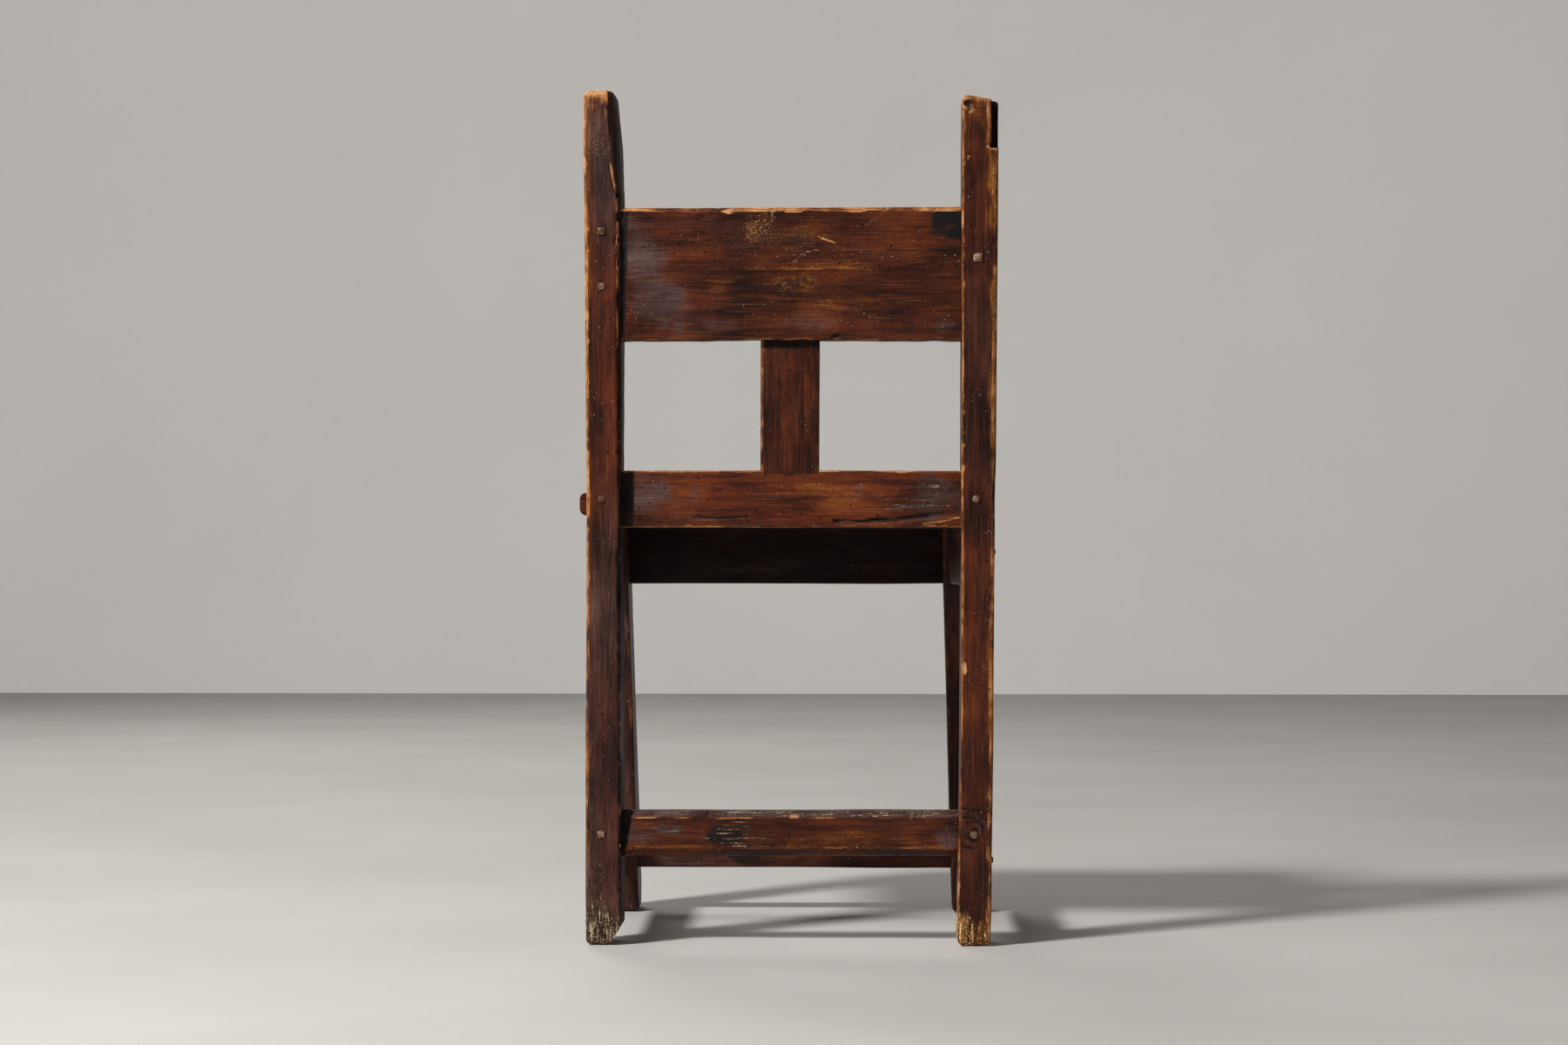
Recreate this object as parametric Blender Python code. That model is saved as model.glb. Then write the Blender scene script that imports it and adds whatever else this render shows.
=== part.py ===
"""A child's joined chair in dark waxed wood, in metres, +Z up, +Y towards the chair's front.

Two tall rear posts carry a crest rail, a splat and a low back rail. Two short front legs carry an
apron. Side rails and stretchers tie both frames together, and one board nailed on top is the seat.
Every frame joint is a blind mortise and tenon, held by a whittled eight-sided peg.
"""
import math
from collections import namedtuple

import bmesh
import bpy
from mathutils import Vector

# Frame as a whole: sizes over the outer faces, and how the old frame stands
BACK_WIDTH = 0.3235
FRONT_WIDTH = 0.326
FRAME_DEPTH = 0.278
RAKE_DEGREES = 3.7
BACK_SWAY = 0.00337
FRONT_RACK = 0.009

# Uprights
POST_HEIGHT = 0.6745
POST_WIDTH = 0.0285
POST_DEPTH = 0.043
LEG_WIDTH = 0.028
LEG_DEPTH = 0.045
FOOT_EASE = 0.003
TOP_EASE = 0.004
LEFT_POST_CHAMFER = 0.005
TOP_TAPER_LENGTH = 0.050
LEFT_TOP_TAPER = 0.0055
LEFT_FOOT_LOSS = 0.009
LEFT_FOOT_LOSS_HEIGHT = 0.016
RIGHT_POST_SHORTER = 0.0045
RIGHT_POST_TOP_DROP = 0.0045
NOTCH_WIDTH = 0.0055
NOTCH_DEPTH = 0.016
NOTCH_LENGTH = 0.0355

# Back: boards between the posts
CREST_DROP = 0.0915
CREST_HEIGHT = 0.104
CREST_THICKNESS = 0.018
CREST_SETBACK = 0.004
LOWER_RAIL_TOP = 0.377
LOWER_RAIL_HEIGHT = 0.045
LOWER_RAIL_THICKNESS = 0.020
LOWER_RAIL_SETBACK = 0.010
SPLAT_WIDTH = 0.0465
SPLAT_THICKNESS = 0.012
SPLAT_SETBACK = 0.0055
SPLAT_OFFSET = -0.0007
SPLAT_TENON_LENGTH = 0.015
SPLAT_TENON_THICKNESS = 0.006

# Seat board and the rails under it
SEAT_TOP = 0.360
SEAT_THICKNESS = 0.0185
SEAT_SIDE_MARGIN = 0.0025
SEAT_NOSE = 0.002
SEAT_CORNER_RADIUS = 0.016
SEAT_CORNER_STEPS = 4
SEAT_EDGE_ROUND = 0.005
APRON_HEIGHT = 0.058
APRON_THICKNESS = 0.020
APRON_SETBACK = 0.004
SIDE_RAIL_HEIGHT = 0.057
SIDE_RAIL_THICKNESS = 0.020
SIDE_RAIL_SETBACK = 0.003

# Stretchers
REAR_STRETCHER_TOP = 0.107
REAR_STRETCHER_HEIGHT = 0.036
REAR_STRETCHER_THICKNESS = 0.0215
REAR_STRETCHER_SETBACK = 0.0047
REAR_STRETCHER_TOP_WEAR = 0.007
REAR_STRETCHER_FOOT_CHAMFER = 0.006
FRONT_STRETCHER_TOP = 0.063
FRONT_STRETCHER_HEIGHT = 0.025
FRONT_STRETCHER_THICKNESS = 0.020
FRONT_STRETCHER_SETBACK = 0.009
SIDE_STRETCHER_TOP = 0.082
SIDE_STRETCHER_HEIGHT = 0.032
SIDE_STRETCHER_THICKNESS = 0.018
SIDE_STRETCHER_SETBACK = 0.003

# Joints
FIT = 0.0003
ARRIS = 0.002
TENON_THICKNESS = 0.008
TENON_SHOULDER = 0.005
TENON_EASE = 0.0006
BLIND_WALL = 0.0065
MORTISE_WALL = 0.003
BACK_PEG_DIAMETER = 0.008
BACK_PEG_OFFSET = -0.0015
SIDE_PEG_DIAMETER = 0.006
PEG_PROUD = 0.0012
PEG_BITE = 0.002
PEG_CROWN = 0.0015
PEG_TAPER = 0.85
CREST_PEG_DROP_LEFT_UPPER = 0.0186
CREST_PEG_DROP_LEFT_LOWER = 0.0616
CREST_PEG_DROP_RIGHT = 0.0398

# Forged nails through the seat
NAIL_LENGTH = 0.034
NAIL_SHANK = 0.003
NAIL_POINT = 0.0012
NAIL_HEAD = 0.007
NAIL_HEAD_CROWN = 0.0052
NAIL_HEAD_HEIGHT = 0.0016
NAIL_SUNK = 0.0003
SIDE_NAIL_MARGIN = 0.045
APRON_NAIL_SPACING = 0.100

# Finishes: colour, roughness and metallic value
WOOD_POST = ("#4d2a19", 0.50, 0.0)
WOOD_BOARD = ("#55291a", 0.42, 0.0)
WOOD_SHADED = ("#452417", 0.48, 0.0)
WOOD_SEAT = ("#5a3019", 0.40, 0.0)
WOOD_PEG = ("#7a5a3c", 0.60, 0.0)
IRON_NAIL = ("#2b2624", 0.65, 0.9)

# Places that follow from the sizes above
post_outer = BACK_WIDTH / 2
post_inner = post_outer - POST_WIDTH
leg_outer = FRONT_WIDTH / 2
leg_inner = leg_outer - LEG_WIDTH
leg_rear = FRAME_DEPTH - LEG_DEPTH
seat_bottom = SEAT_TOP - SEAT_THICKNESS
frame_top = seat_bottom - FIT
overcut = ARRIS + 2 * FIT
octagon_cut = 1 / (2 + math.sqrt(2))
sides = {"left": -1, "right": 1}

End = namedtuple("End", "shoulder tip body_u body_v tenon_u tenon_v")


def clear_scene():
    for item in list(bpy.data.objects):
        bpy.data.objects.remove(item, do_unlink=True)


def settle_back(point):
    """Lean a point of the square back frame: it rakes back and sways to the right."""
    x, y, z = point
    return Vector((x + BACK_SWAY * z / POST_HEIGHT, y - math.tan(math.radians(RAKE_DEGREES)) * z, z))


def settle(point):
    """Lean any point of the square frame: the back as above, and the front frame racked to the left."""
    x, y, z = point
    forward = min(max((y - POST_DEPTH) / (leg_rear - POST_DEPTH), 0.0), 1.0)
    rear = settle_back(point)
    front = Vector((x - FRONT_RACK * min(z / frame_top, 1.0), rear.y, z))
    return rear.lerp(front, forward)


def linear_colour(code):
    channels = [int(code[start:start + 2], 16) / 255 for start in (1, 3, 5)]
    return [c / 12.92 if c <= 0.04045 else ((c + 0.055) / 1.055) ** 2.4 for c in channels] + [1.0]


def finish_material(name, finish):
    colour, roughness, metallic = finish
    material = bpy.data.materials.new(name + "_finish")
    material.use_nodes = True
    shader = material.node_tree.nodes["Principled BSDF"]
    shader.inputs["Base Color"].default_value = linear_colour(colour)
    shader.inputs["Roughness"].default_value = roughness
    shader.inputs["Metallic"].default_value = metallic
    material.diffuse_color = linear_colour(colour)
    return material


def add_object(name, bm, lean):
    """Lean a mesh with the frame, put its origin at its middle and hang it on the chair's root."""
    for vert in bm.verts:
        vert.co = lean(vert.co)
    low = Vector([min(v.co[i] for v in bm.verts) for i in range(3)])
    high = Vector([max(v.co[i] for v in bm.verts) for i in range(3)])
    middle = (low + high) / 2
    bmesh.ops.translate(bm, verts=bm.verts, vec=-middle)
    bmesh.ops.recalc_face_normals(bm, faces=bm.faces)
    mesh = bpy.data.meshes.new(name)
    bm.to_mesh(mesh)
    bm.free()
    item = bpy.data.objects.new(name, mesh)
    item.location = middle
    item.parent = root
    bpy.context.scene.collection.objects.link(item)
    return item


def add_piece(name, bm, finish, lean=settle):
    piece = add_object(name, bm, lean)
    piece.data.materials.append(finish_material(name, finish))
    pieces[name] = piece
    return piece


def cut(cutter_name, bm, hosts, lean=settle):
    """Take one hollow out of every host piece that it passes through."""
    cutter = add_object(cutter_name + "_cutter", bm, lean)
    cutter.hide_render = True
    cutter.display_type = "WIRE"
    for host in hosts:
        hollow = pieces[host].modifiers.new(cutter_name, "BOOLEAN")
        hollow.operation = "DIFFERENCE"
        hollow.solver = "EXACT"
        hollow.object = cutter


def about(middle, size):
    return (middle - size / 2, middle + size / 2)


def grown(limits, amount):
    return (limits[0] - amount, limits[1] + amount)


def mirrored(side, inner, outer):
    return (inner, outer) if side > 0 else (-outer, -inner)


def corner_cuts(side, rear_inner, rear_outer, front_outer, front_inner):
    """Corner cuts of an upright, in the order that section() walks round it."""
    if side > 0:
        return (rear_inner, rear_outer, front_outer, front_inner)
    return (rear_outer, rear_inner, front_inner, front_outer)


def section(u, v, cuts):
    """Eight points round a rectangle whose corners are cut off."""
    a, b, c, d = cuts
    return [
        (u[0] + a, v[0]), (u[1] - b, v[0]), (u[1], v[0] + b), (u[1], v[1] - c),
        (u[1] - c, v[1]), (u[0] + d, v[1]), (u[0], v[1] - d), (u[0], v[0] + a),
    ]


def stick(axis, stations):
    """Loft sections along X, Y or Z. A station is a place on the axis, two limits and corner cuts."""
    order = {"X": (0, 1, 2), "Y": (1, 0, 2), "Z": (1, 2, 0)}[axis]
    rings = []
    for t, u, v, cuts in stations:
        corners = [(t, p, q) for p, q in section(u, v, cuts)]
        rings.append([Vector([corner[i] for i in order]) for corner in corners])
    bm = bmesh.new()
    face = bm.faces.new([bm.verts.new(point) for point in rings[0]])
    for number, ring in enumerate(rings[1:]):
        made = bmesh.ops.extrude_face_region(bm, geom=[face])["geom"]
        if number:
            bmesh.ops.delete(bm, geom=[face], context="FACES_ONLY")
        face = next(part for part in made if isinstance(part, bmesh.types.BMFace))
        for vert, point in zip(face.verts, ring):
            vert.co = point
    return bm


def rail(name, axis, first, last, cuts, finish, hosts):
    """A board with a shouldered tenon on each end, and the mortises that take the tenons."""
    ease = (TENON_EASE,) * 4
    add_piece(name, stick(axis, [
        (first.tip, first.tenon_u, first.tenon_v, ease),
        (first.shoulder, first.tenon_u, first.tenon_v, ease),
        (first.shoulder, first.body_u, first.body_v, cuts),
        (last.shoulder, last.body_u, last.body_v, cuts),
        (last.shoulder, last.tenon_u, last.tenon_v, ease),
        (last.tip, last.tenon_u, last.tenon_v, ease),
    ]), finish)
    for end, host in zip((first, last), hosts):
        way = math.copysign(1, end.tip - end.shoulder)
        hollow_u = grown(end.tenon_u, FIT)
        hollow_v = grown(end.tenon_v, FIT)
        cut(f"{name}_mortise_in_{host}", stick(axis, [
            (end.shoulder - way * overcut, hollow_u, hollow_v, ease),
            (end.tip + way * FIT, hollow_u, hollow_v, ease),
        ]), [host])


def cross_rail(name, inner, upright_width, body_y, tenon_y, body_z, cuts, finish, hosts):
    """A rail across the chair, between the two posts or the two front legs."""
    tenon_z = grown(body_z, -TENON_SHOULDER)
    shoulder = inner - FIT
    tip = inner + upright_width - BLIND_WALL
    ends = [End(side * shoulder, side * tip, body_y, body_z, tenon_y, tenon_z) for side in (-1, 1)]
    rail(name, "X", ends[0], ends[1], cuts, finish, hosts)


def side_member(name, side, thickness, setback, body_z, finish, hosts):
    """A rail or stretcher from a rear post to the front leg of the same side."""
    ends = []
    for outer, shoulder, tip in (
        (post_outer, POST_DEPTH + FIT, POST_DEPTH - side_tenon_in_post),
        (leg_outer, leg_rear - FIT, leg_rear + side_tenon_in_leg),
    ):
        body_x = mirrored(side, outer - setback - thickness, outer - setback)
        tenon_x = about(sum(body_x) / 2, TENON_THICKNESS)
        ends.append(End(shoulder, tip, body_x, body_z, tenon_x, grown(body_z, -TENON_SHOULDER)))
    rail(name, "Y", ends[0], ends[1], (ARRIS,) * 4, finish, hosts)


def peg(name, axis, head, tip, middle_u, middle_v, diameter, hosts):
    """A whittled peg from its head, just proud of an upright, to its tip past the tenon."""
    way = math.copysign(1, tip - head)
    stations = []
    for t, size in (
        (head, diameter - PEG_CROWN),
        (head + way * PEG_CROWN / 2, diameter),
        (head + way * (PEG_PROUD + PEG_CROWN), diameter),
        (tip, diameter * PEG_TAPER),
    ):
        stations.append((t, about(middle_u, size), about(middle_v, size), (size * octagon_cut,) * 4))
    add_piece(name, stick(axis, stations), WOOD_PEG)
    bore = diameter + 2 * FIT
    bore_section = (about(middle_u, bore), about(middle_v, bore), (bore * octagon_cut,) * 4)
    cut(name + "_hole", stick(axis, [
        (head - way * overcut, *bore_section),
        (tip + way * FIT, *bore_section),
    ]), hosts)


def nail(name, x, y, board):
    """A forged nail with a faceted head, upright through the seat, its head hammered just below flush."""
    def station(z, size):
        return (z, about(x, size), about(y, size), (size * octagon_cut,) * 4)

    head_top = SEAT_TOP - NAIL_SUNK
    head_foot = head_top - NAIL_HEAD_HEIGHT
    tip = SEAT_TOP - NAIL_LENGTH
    add_piece(name, stick("Z", [
        station(tip, NAIL_POINT),
        station(head_foot, NAIL_SHANK),
        station(head_foot, NAIL_HEAD),
        station(head_top, NAIL_HEAD_CROWN),
    ]), IRON_NAIL, Vector)
    cut(name + "_hole", stick("Z", [
        station(tip - FIT, NAIL_POINT + 2 * FIT),
        station(head_foot - FIT, NAIL_SHANK + 2 * FIT),
        station(head_foot - FIT, NAIL_HEAD + 2 * FIT),
        station(SEAT_TOP + overcut, NAIL_HEAD + 2 * FIT),
    ]), ["seat_board", board], Vector)


clear_scene()
root = bpy.data.objects.new("childs_chair", None)
bpy.context.scene.collection.objects.link(root)
pieces = {}

# Where each cross tenon lies in depth, and how deep the side tenons may then reach
lower_rail_y = (LOWER_RAIL_SETBACK, LOWER_RAIL_SETBACK + LOWER_RAIL_THICKNESS)
lower_rail_z = (LOWER_RAIL_TOP - LOWER_RAIL_HEIGHT, LOWER_RAIL_TOP)
lower_rail_tenon_y = about(sum(lower_rail_y) / 2, TENON_THICKNESS)
crest_y = (CREST_SETBACK, CREST_SETBACK + CREST_THICKNESS)
crest_top = POST_HEIGHT - CREST_DROP
crest_z = (crest_top - CREST_HEIGHT, crest_top)
crest_tenon_y = about(sum(crest_y) / 2, TENON_THICKNESS)
rear_stretcher_y = (REAR_STRETCHER_SETBACK, REAR_STRETCHER_SETBACK + REAR_STRETCHER_THICKNESS)
rear_stretcher_z = (REAR_STRETCHER_TOP - REAR_STRETCHER_HEIGHT, REAR_STRETCHER_TOP)
rear_stretcher_tenon_y = about(sum(rear_stretcher_y) / 2, TENON_THICKNESS)
apron_y = (FRAME_DEPTH - APRON_SETBACK - APRON_THICKNESS, FRAME_DEPTH - APRON_SETBACK)
apron_z = (frame_top - APRON_HEIGHT, frame_top)
apron_tenon_y = about(sum(apron_y) / 2, TENON_THICKNESS)
front_stretcher_y = (leg_rear + FRONT_STRETCHER_SETBACK,
                     leg_rear + FRONT_STRETCHER_SETBACK + FRONT_STRETCHER_THICKNESS)
front_stretcher_z = (FRONT_STRETCHER_TOP - FRONT_STRETCHER_HEIGHT, FRONT_STRETCHER_TOP)
front_stretcher_tenon_y = about(sum(front_stretcher_y) / 2, TENON_THICKNESS)
side_rail_z = (frame_top - SIDE_RAIL_HEIGHT, frame_top)
side_stretcher_z = (SIDE_STRETCHER_TOP - SIDE_STRETCHER_HEIGHT, SIDE_STRETCHER_TOP)
side_tenon_in_post = POST_DEPTH - MORTISE_WALL - max(lower_rail_tenon_y[1], rear_stretcher_tenon_y[1])
side_tenon_in_leg = min(apron_tenon_y[0], front_stretcher_tenon_y[0]) - leg_rear - MORTISE_WALL

# Rear posts: the left one has a chamfer that widens upwards, and a top and a foot that are worn away on
# their inner side, the right one is shorter and has a slanted, notched top
right_top = POST_HEIGHT - RIGHT_POST_SHORTER
for name, side in sides.items():
    x = mirrored(side, post_inner, post_outer)
    y = (0.0, POST_DEPTH)
    plain = corner_cuts(side, ARRIS, ARRIS, ARRIS, ARRIS)
    upper = plain
    foot_x = grown(x, -FOOT_EASE)
    ankle = FOOT_EASE
    top_x = x
    top = right_top
    if side < 0:
        upper = corner_cuts(side, LEFT_POST_CHAMFER, ARRIS, ARRIS, ARRIS)
        foot_x = (x[0] + FOOT_EASE, x[1] - LEFT_FOOT_LOSS)
        ankle = LEFT_FOOT_LOSS_HEIGHT
        top_x = (x[0], x[1] - LEFT_TOP_TAPER)
        top = POST_HEIGHT
    post = stick("Z", [
        (0.0, foot_x, grown(y, -FOOT_EASE), plain),
        (ankle, x, y, plain),
        (SEAT_TOP, x, y, plain),
        (top - TOP_TAPER_LENGTH, x, y, upper),
        (top - TOP_EASE, top_x, y, upper),
        (top, grown(top_x, -TOP_EASE), grown(y, -TOP_EASE), upper),
    ])
    if side > 0:
        for vert in post.verts:
            if vert.co.z > top - 2 * TOP_EASE:
                vert.co.z -= RIGHT_POST_TOP_DROP * (vert.co.x - post_inner) / POST_WIDTH
    add_piece(f"rear_post_{name}", post, WOOD_POST)

notch_x = (post_outer - NOTCH_WIDTH, post_outer + overcut)
notch_y = (-overcut, NOTCH_DEPTH)
notch_foot = right_top - RIGHT_POST_TOP_DROP - NOTCH_LENGTH
cut("post_top_notch", stick("Z", [
    (notch_foot, notch_x, notch_y, (TENON_EASE,) * 4),
    (POST_HEIGHT + overcut, notch_x, notch_y, (TENON_EASE,) * 4),
]), ["rear_post_right"])

# Front legs: they stop under the seat board
for name, side in sides.items():
    x = mirrored(side, leg_inner, leg_outer)
    y = (leg_rear, FRAME_DEPTH)
    add_piece(f"front_leg_{name}", stick("Z", [
        (0.0, grown(x, -FOOT_EASE), grown(y, -FOOT_EASE), (ARRIS,) * 4),
        (FOOT_EASE, x, y, (ARRIS,) * 4),
        (frame_top, x, y, (ARRIS,) * 4),
    ]), WOOD_POST)

# Rails and stretchers across the chair
rear_posts = ("rear_post_left", "rear_post_right")
front_legs = ("front_leg_left", "front_leg_right")
cross_rail("crest_rail", post_inner, POST_WIDTH, crest_y, crest_tenon_y, crest_z,
           (ARRIS,) * 4, WOOD_BOARD, rear_posts)
cross_rail("lower_back_rail", post_inner, POST_WIDTH, lower_rail_y, lower_rail_tenon_y, lower_rail_z,
           (ARRIS,) * 4, WOOD_BOARD, rear_posts)
cross_rail("rear_stretcher", post_inner, POST_WIDTH, rear_stretcher_y, rear_stretcher_tenon_y,
           rear_stretcher_z, (REAR_STRETCHER_FOOT_CHAMFER, ARRIS, ARRIS, REAR_STRETCHER_TOP_WEAR),
           WOOD_BOARD, rear_posts)
cross_rail("front_apron", leg_inner, LEG_WIDTH, apron_y, apron_tenon_y, apron_z,
           (ARRIS,) * 4, WOOD_SHADED, front_legs)
cross_rail("front_stretcher", leg_inner, LEG_WIDTH, front_stretcher_y, front_stretcher_tenon_y,
           front_stretcher_z, (ARRIS,) * 4, WOOD_SHADED, front_legs)

# Side rails and side stretchers
for name, side in sides.items():
    hosts = (f"rear_post_{name}", f"front_leg_{name}")
    side_member(f"side_rail_{name}", side, SIDE_RAIL_THICKNESS, SIDE_RAIL_SETBACK,
                side_rail_z, WOOD_SHADED, hosts)
    side_member(f"side_stretcher_{name}", side, SIDE_STRETCHER_THICKNESS, SIDE_STRETCHER_SETBACK,
                side_stretcher_z, WOOD_SHADED, hosts)

# Splat: its tenons stand in the crest rail and in the lower back rail
splat_x = about(SPLAT_OFFSET, SPLAT_WIDTH)
splat_y = (CREST_SETBACK + SPLAT_SETBACK, CREST_SETBACK + SPLAT_SETBACK + SPLAT_THICKNESS)
splat_tenon_x = grown(splat_x, -TENON_SHOULDER)
splat_tenon_y = about(sum(splat_y) / 2, SPLAT_TENON_THICKNESS)
splat_foot = LOWER_RAIL_TOP + FIT
splat_head = crest_z[0] - FIT
rail("back_splat", "Z",
     End(splat_foot, splat_foot - SPLAT_TENON_LENGTH, splat_x, splat_y, splat_tenon_x, splat_tenon_y),
     End(splat_head, splat_head + SPLAT_TENON_LENGTH, splat_x, splat_y, splat_tenon_x, splat_tenon_y),
     (ARRIS,) * 4, WOOD_BOARD, ("lower_back_rail", "crest_rail"))

# Seat board: a tongue between the posts meets the lower back rail, and the front corners are round
seat_front = FRAME_DEPTH + SEAT_NOSE
tongue_x = post_inner - FIT
tongue_y = lower_rail_y[1] + FIT
shoulder_y = POST_DEPTH + FIT
seat_rear_x = about(-FRONT_RACK, BACK_WIDTH - 2 * SEAT_SIDE_MARGIN)
seat_front_x = about(-FRONT_RACK, FRONT_WIDTH - 2 * SEAT_SIDE_MARGIN)
outline = [(seat_rear_x[0], shoulder_y), (-tongue_x, shoulder_y), (-tongue_x, tongue_y),
           (tongue_x, tongue_y), (tongue_x, shoulder_y), (seat_rear_x[1], shoulder_y)]
left_corner_x, right_corner_x = grown(seat_front_x, -SEAT_CORNER_RADIUS)
for corner_x, start in ((right_corner_x, 0), (left_corner_x, 90)):
    for step in range(SEAT_CORNER_STEPS + 1):
        angle = math.radians(start + step * 90 / SEAT_CORNER_STEPS)
        outline.append((corner_x + SEAT_CORNER_RADIUS * math.cos(angle),
                        seat_front - SEAT_CORNER_RADIUS + SEAT_CORNER_RADIUS * math.sin(angle)))
seat = bmesh.new()
seat_face = seat.faces.new([seat.verts.new((x, y, seat_bottom)) for x, y in outline])
seat_made = bmesh.ops.extrude_face_region(seat, geom=[seat_face])["geom"]
bmesh.ops.translate(seat, verts=[part for part in seat_made if isinstance(part, bmesh.types.BMVert)],
                    vec=(0, 0, SEAT_THICKNESS))
rims = [edge for edge in seat.edges if edge.verts[0].co.z == edge.verts[1].co.z]
bmesh.ops.bevel(seat, geom=rims, offset=SEAT_EDGE_ROUND, offset_type="OFFSET", segments=3,
                profile=0.5, affect="EDGES", clamp_overlap=True, material=-1)
add_piece("seat_board", seat, WOOD_SEAT, settle_back)

# Pegs of the back, driven from the posts' rear faces through the tenons, a little left of the middle
post_middle = (post_inner + post_outer) / 2
for label, name, drop in (
    ("left_upper", "left", CREST_PEG_DROP_LEFT_UPPER),
    ("left_lower", "left", CREST_PEG_DROP_LEFT_LOWER),
    ("right", "right", CREST_PEG_DROP_RIGHT),
):
    peg(f"crest_peg_{label}", "Y", -PEG_PROUD, crest_tenon_y[1] + PEG_BITE,
        sides[name] * post_middle + BACK_PEG_OFFSET, crest_top - drop, BACK_PEG_DIAMETER,
        [f"rear_post_{name}", "crest_rail"])
for name, side in sides.items():
    for label, board, tenon_y, limits_z in (
        ("lower_rail_peg", "lower_back_rail", lower_rail_tenon_y, lower_rail_z),
        ("rear_stretcher_peg", "rear_stretcher", rear_stretcher_tenon_y, rear_stretcher_z),
    ):
        peg(f"{label}_{name}", "Y", -PEG_PROUD, tenon_y[1] + PEG_BITE, side * post_middle + BACK_PEG_OFFSET,
            sum(limits_z) / 2, BACK_PEG_DIAMETER, [f"rear_post_{name}", board])

# Pegs of the front frame, driven from the legs' front faces
leg_middle = (leg_inner + leg_outer) / 2
for name, side in sides.items():
    for label, board, tenon_y, limits_z in (
        ("apron_peg", "front_apron", apron_tenon_y, apron_z),
        ("front_stretcher_peg", "front_stretcher", front_stretcher_tenon_y, front_stretcher_z),
    ):
        peg(f"{label}_{name}", "Y", FRAME_DEPTH + PEG_PROUD, tenon_y[0] - PEG_BITE, side * leg_middle,
            sum(limits_z) / 2, SIDE_PEG_DIAMETER, [f"front_leg_{name}", board])

# Pegs of the side rails and side stretchers, driven from the outer faces
for name, side in sides.items():
    for board, thickness, setback, limits_z in (
        ("side_rail", SIDE_RAIL_THICKNESS, SIDE_RAIL_SETBACK, side_rail_z),
        ("side_stretcher", SIDE_STRETCHER_THICKNESS, SIDE_STRETCHER_SETBACK, side_stretcher_z),
    ):
        reach = setback + thickness / 2 + TENON_THICKNESS / 2 + PEG_BITE
        for place, outer, peg_y, upright in (
            ("rear", post_outer, POST_DEPTH - side_tenon_in_post / 2, f"rear_post_{name}"),
            ("front", leg_outer, leg_rear + side_tenon_in_leg / 2, f"front_leg_{name}"),
        ):
            peg(f"{board}_{place}_peg_{name}", "X", side * (outer + PEG_PROUD), side * (outer - reach),
                peg_y, sum(limits_z) / 2, SIDE_PEG_DIAMETER, [upright, f"{board}_{name}"])

# Forged nails: two into each side rail and three into the apron
for name, side in sides.items():
    for label, nail_y in (("rear", POST_DEPTH + SIDE_NAIL_MARGIN), ("front", leg_rear - SIDE_NAIL_MARGIN)):
        share = (nail_y - POST_DEPTH) / (leg_rear - POST_DEPTH)
        outer = post_outer + (leg_outer - post_outer) * share - SIDE_RAIL_SETBACK
        rail_x = mirrored(side, outer - SIDE_RAIL_THICKNESS, outer)
        bearing = [settle((x, nail_y, frame_top)) for x in rail_x]
        seat_x = [rear + (front - rear) * share for rear, front in zip(seat_rear_x, seat_front_x)]
        flat_x = [settle_back((x, nail_y, SEAT_TOP)).x for x in grown(seat_x, -SEAT_EDGE_ROUND)]
        bearing_x = (max(bearing[0].x, flat_x[0]), min(bearing[1].x, flat_x[1]))
        nail(f"seat_nail_{name}_{label}", sum(bearing_x) / 2, bearing[0].y, f"side_rail_{name}")
for label, step in (("left", -1), ("middle", 0), ("right", 1)):
    apron_place = settle((step * APRON_NAIL_SPACING, sum(apron_y) / 2, frame_top))
    nail(f"apron_nail_{label}", apron_place.x, apron_place.y, "front_apron")

# The chair's origin lies on the floor, under the middle of its outer box
points = [piece.location + vert.co for piece in pieces.values() for vert in piece.data.vertices]
for axis in range(2):
    reach = [point[axis] for point in points]
    root.location[axis] = -(min(reach) + max(reach)) / 2
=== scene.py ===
import math
from collections import namedtuple

import bmesh
import bpy
import numpy as np
from mathutils import Matrix, Vector


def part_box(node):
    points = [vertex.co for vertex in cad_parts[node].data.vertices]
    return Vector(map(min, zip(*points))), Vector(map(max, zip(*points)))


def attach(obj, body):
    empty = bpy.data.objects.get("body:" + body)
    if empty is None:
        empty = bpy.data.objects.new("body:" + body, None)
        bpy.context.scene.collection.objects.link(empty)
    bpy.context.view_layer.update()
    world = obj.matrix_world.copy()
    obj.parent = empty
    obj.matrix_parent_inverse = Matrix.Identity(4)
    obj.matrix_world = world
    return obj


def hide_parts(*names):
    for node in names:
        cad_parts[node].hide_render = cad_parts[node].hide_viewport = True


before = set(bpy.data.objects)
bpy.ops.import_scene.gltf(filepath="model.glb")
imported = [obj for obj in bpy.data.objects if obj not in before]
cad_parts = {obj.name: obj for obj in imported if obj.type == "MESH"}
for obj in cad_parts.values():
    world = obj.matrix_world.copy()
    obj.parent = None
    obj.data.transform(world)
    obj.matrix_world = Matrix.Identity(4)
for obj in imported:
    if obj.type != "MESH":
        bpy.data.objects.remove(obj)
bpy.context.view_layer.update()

# Rear posts: two tall sawn uprights, leg and back in one, of old waxed wood. They rake back and sway a
# little to the right. Hands have rubbed the arrises pale, the left foot is worn off on its inner side,
# and an open socket is cut into the top corner of the right post.
sides = ("left", "right")
post_width = 0.0285
post_depth = 0.043
rake_angle = math.radians(3.7)
rake = math.tan(rake_angle)
sway = 0.005
post_box = {side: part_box(f"rear_post_{side}") for side in sides}
post_x = {side: (low.x, low.x + post_width) for side, (low, high) in post_box.items()}
foot_ease = 0.003
rear_face = post_box["right"][1].y + rake * foot_ease - post_depth
mark_kinds = ("ruddy", "gold", "bloom", "burn", "wear", "fray", "specks")
everywhere = 1e3
corners = ((-1, -1), (-1, 1), (1, -1), (1, 1))

Arris = namedtuple("Arris", "radius power chips rubbed fade")


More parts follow.
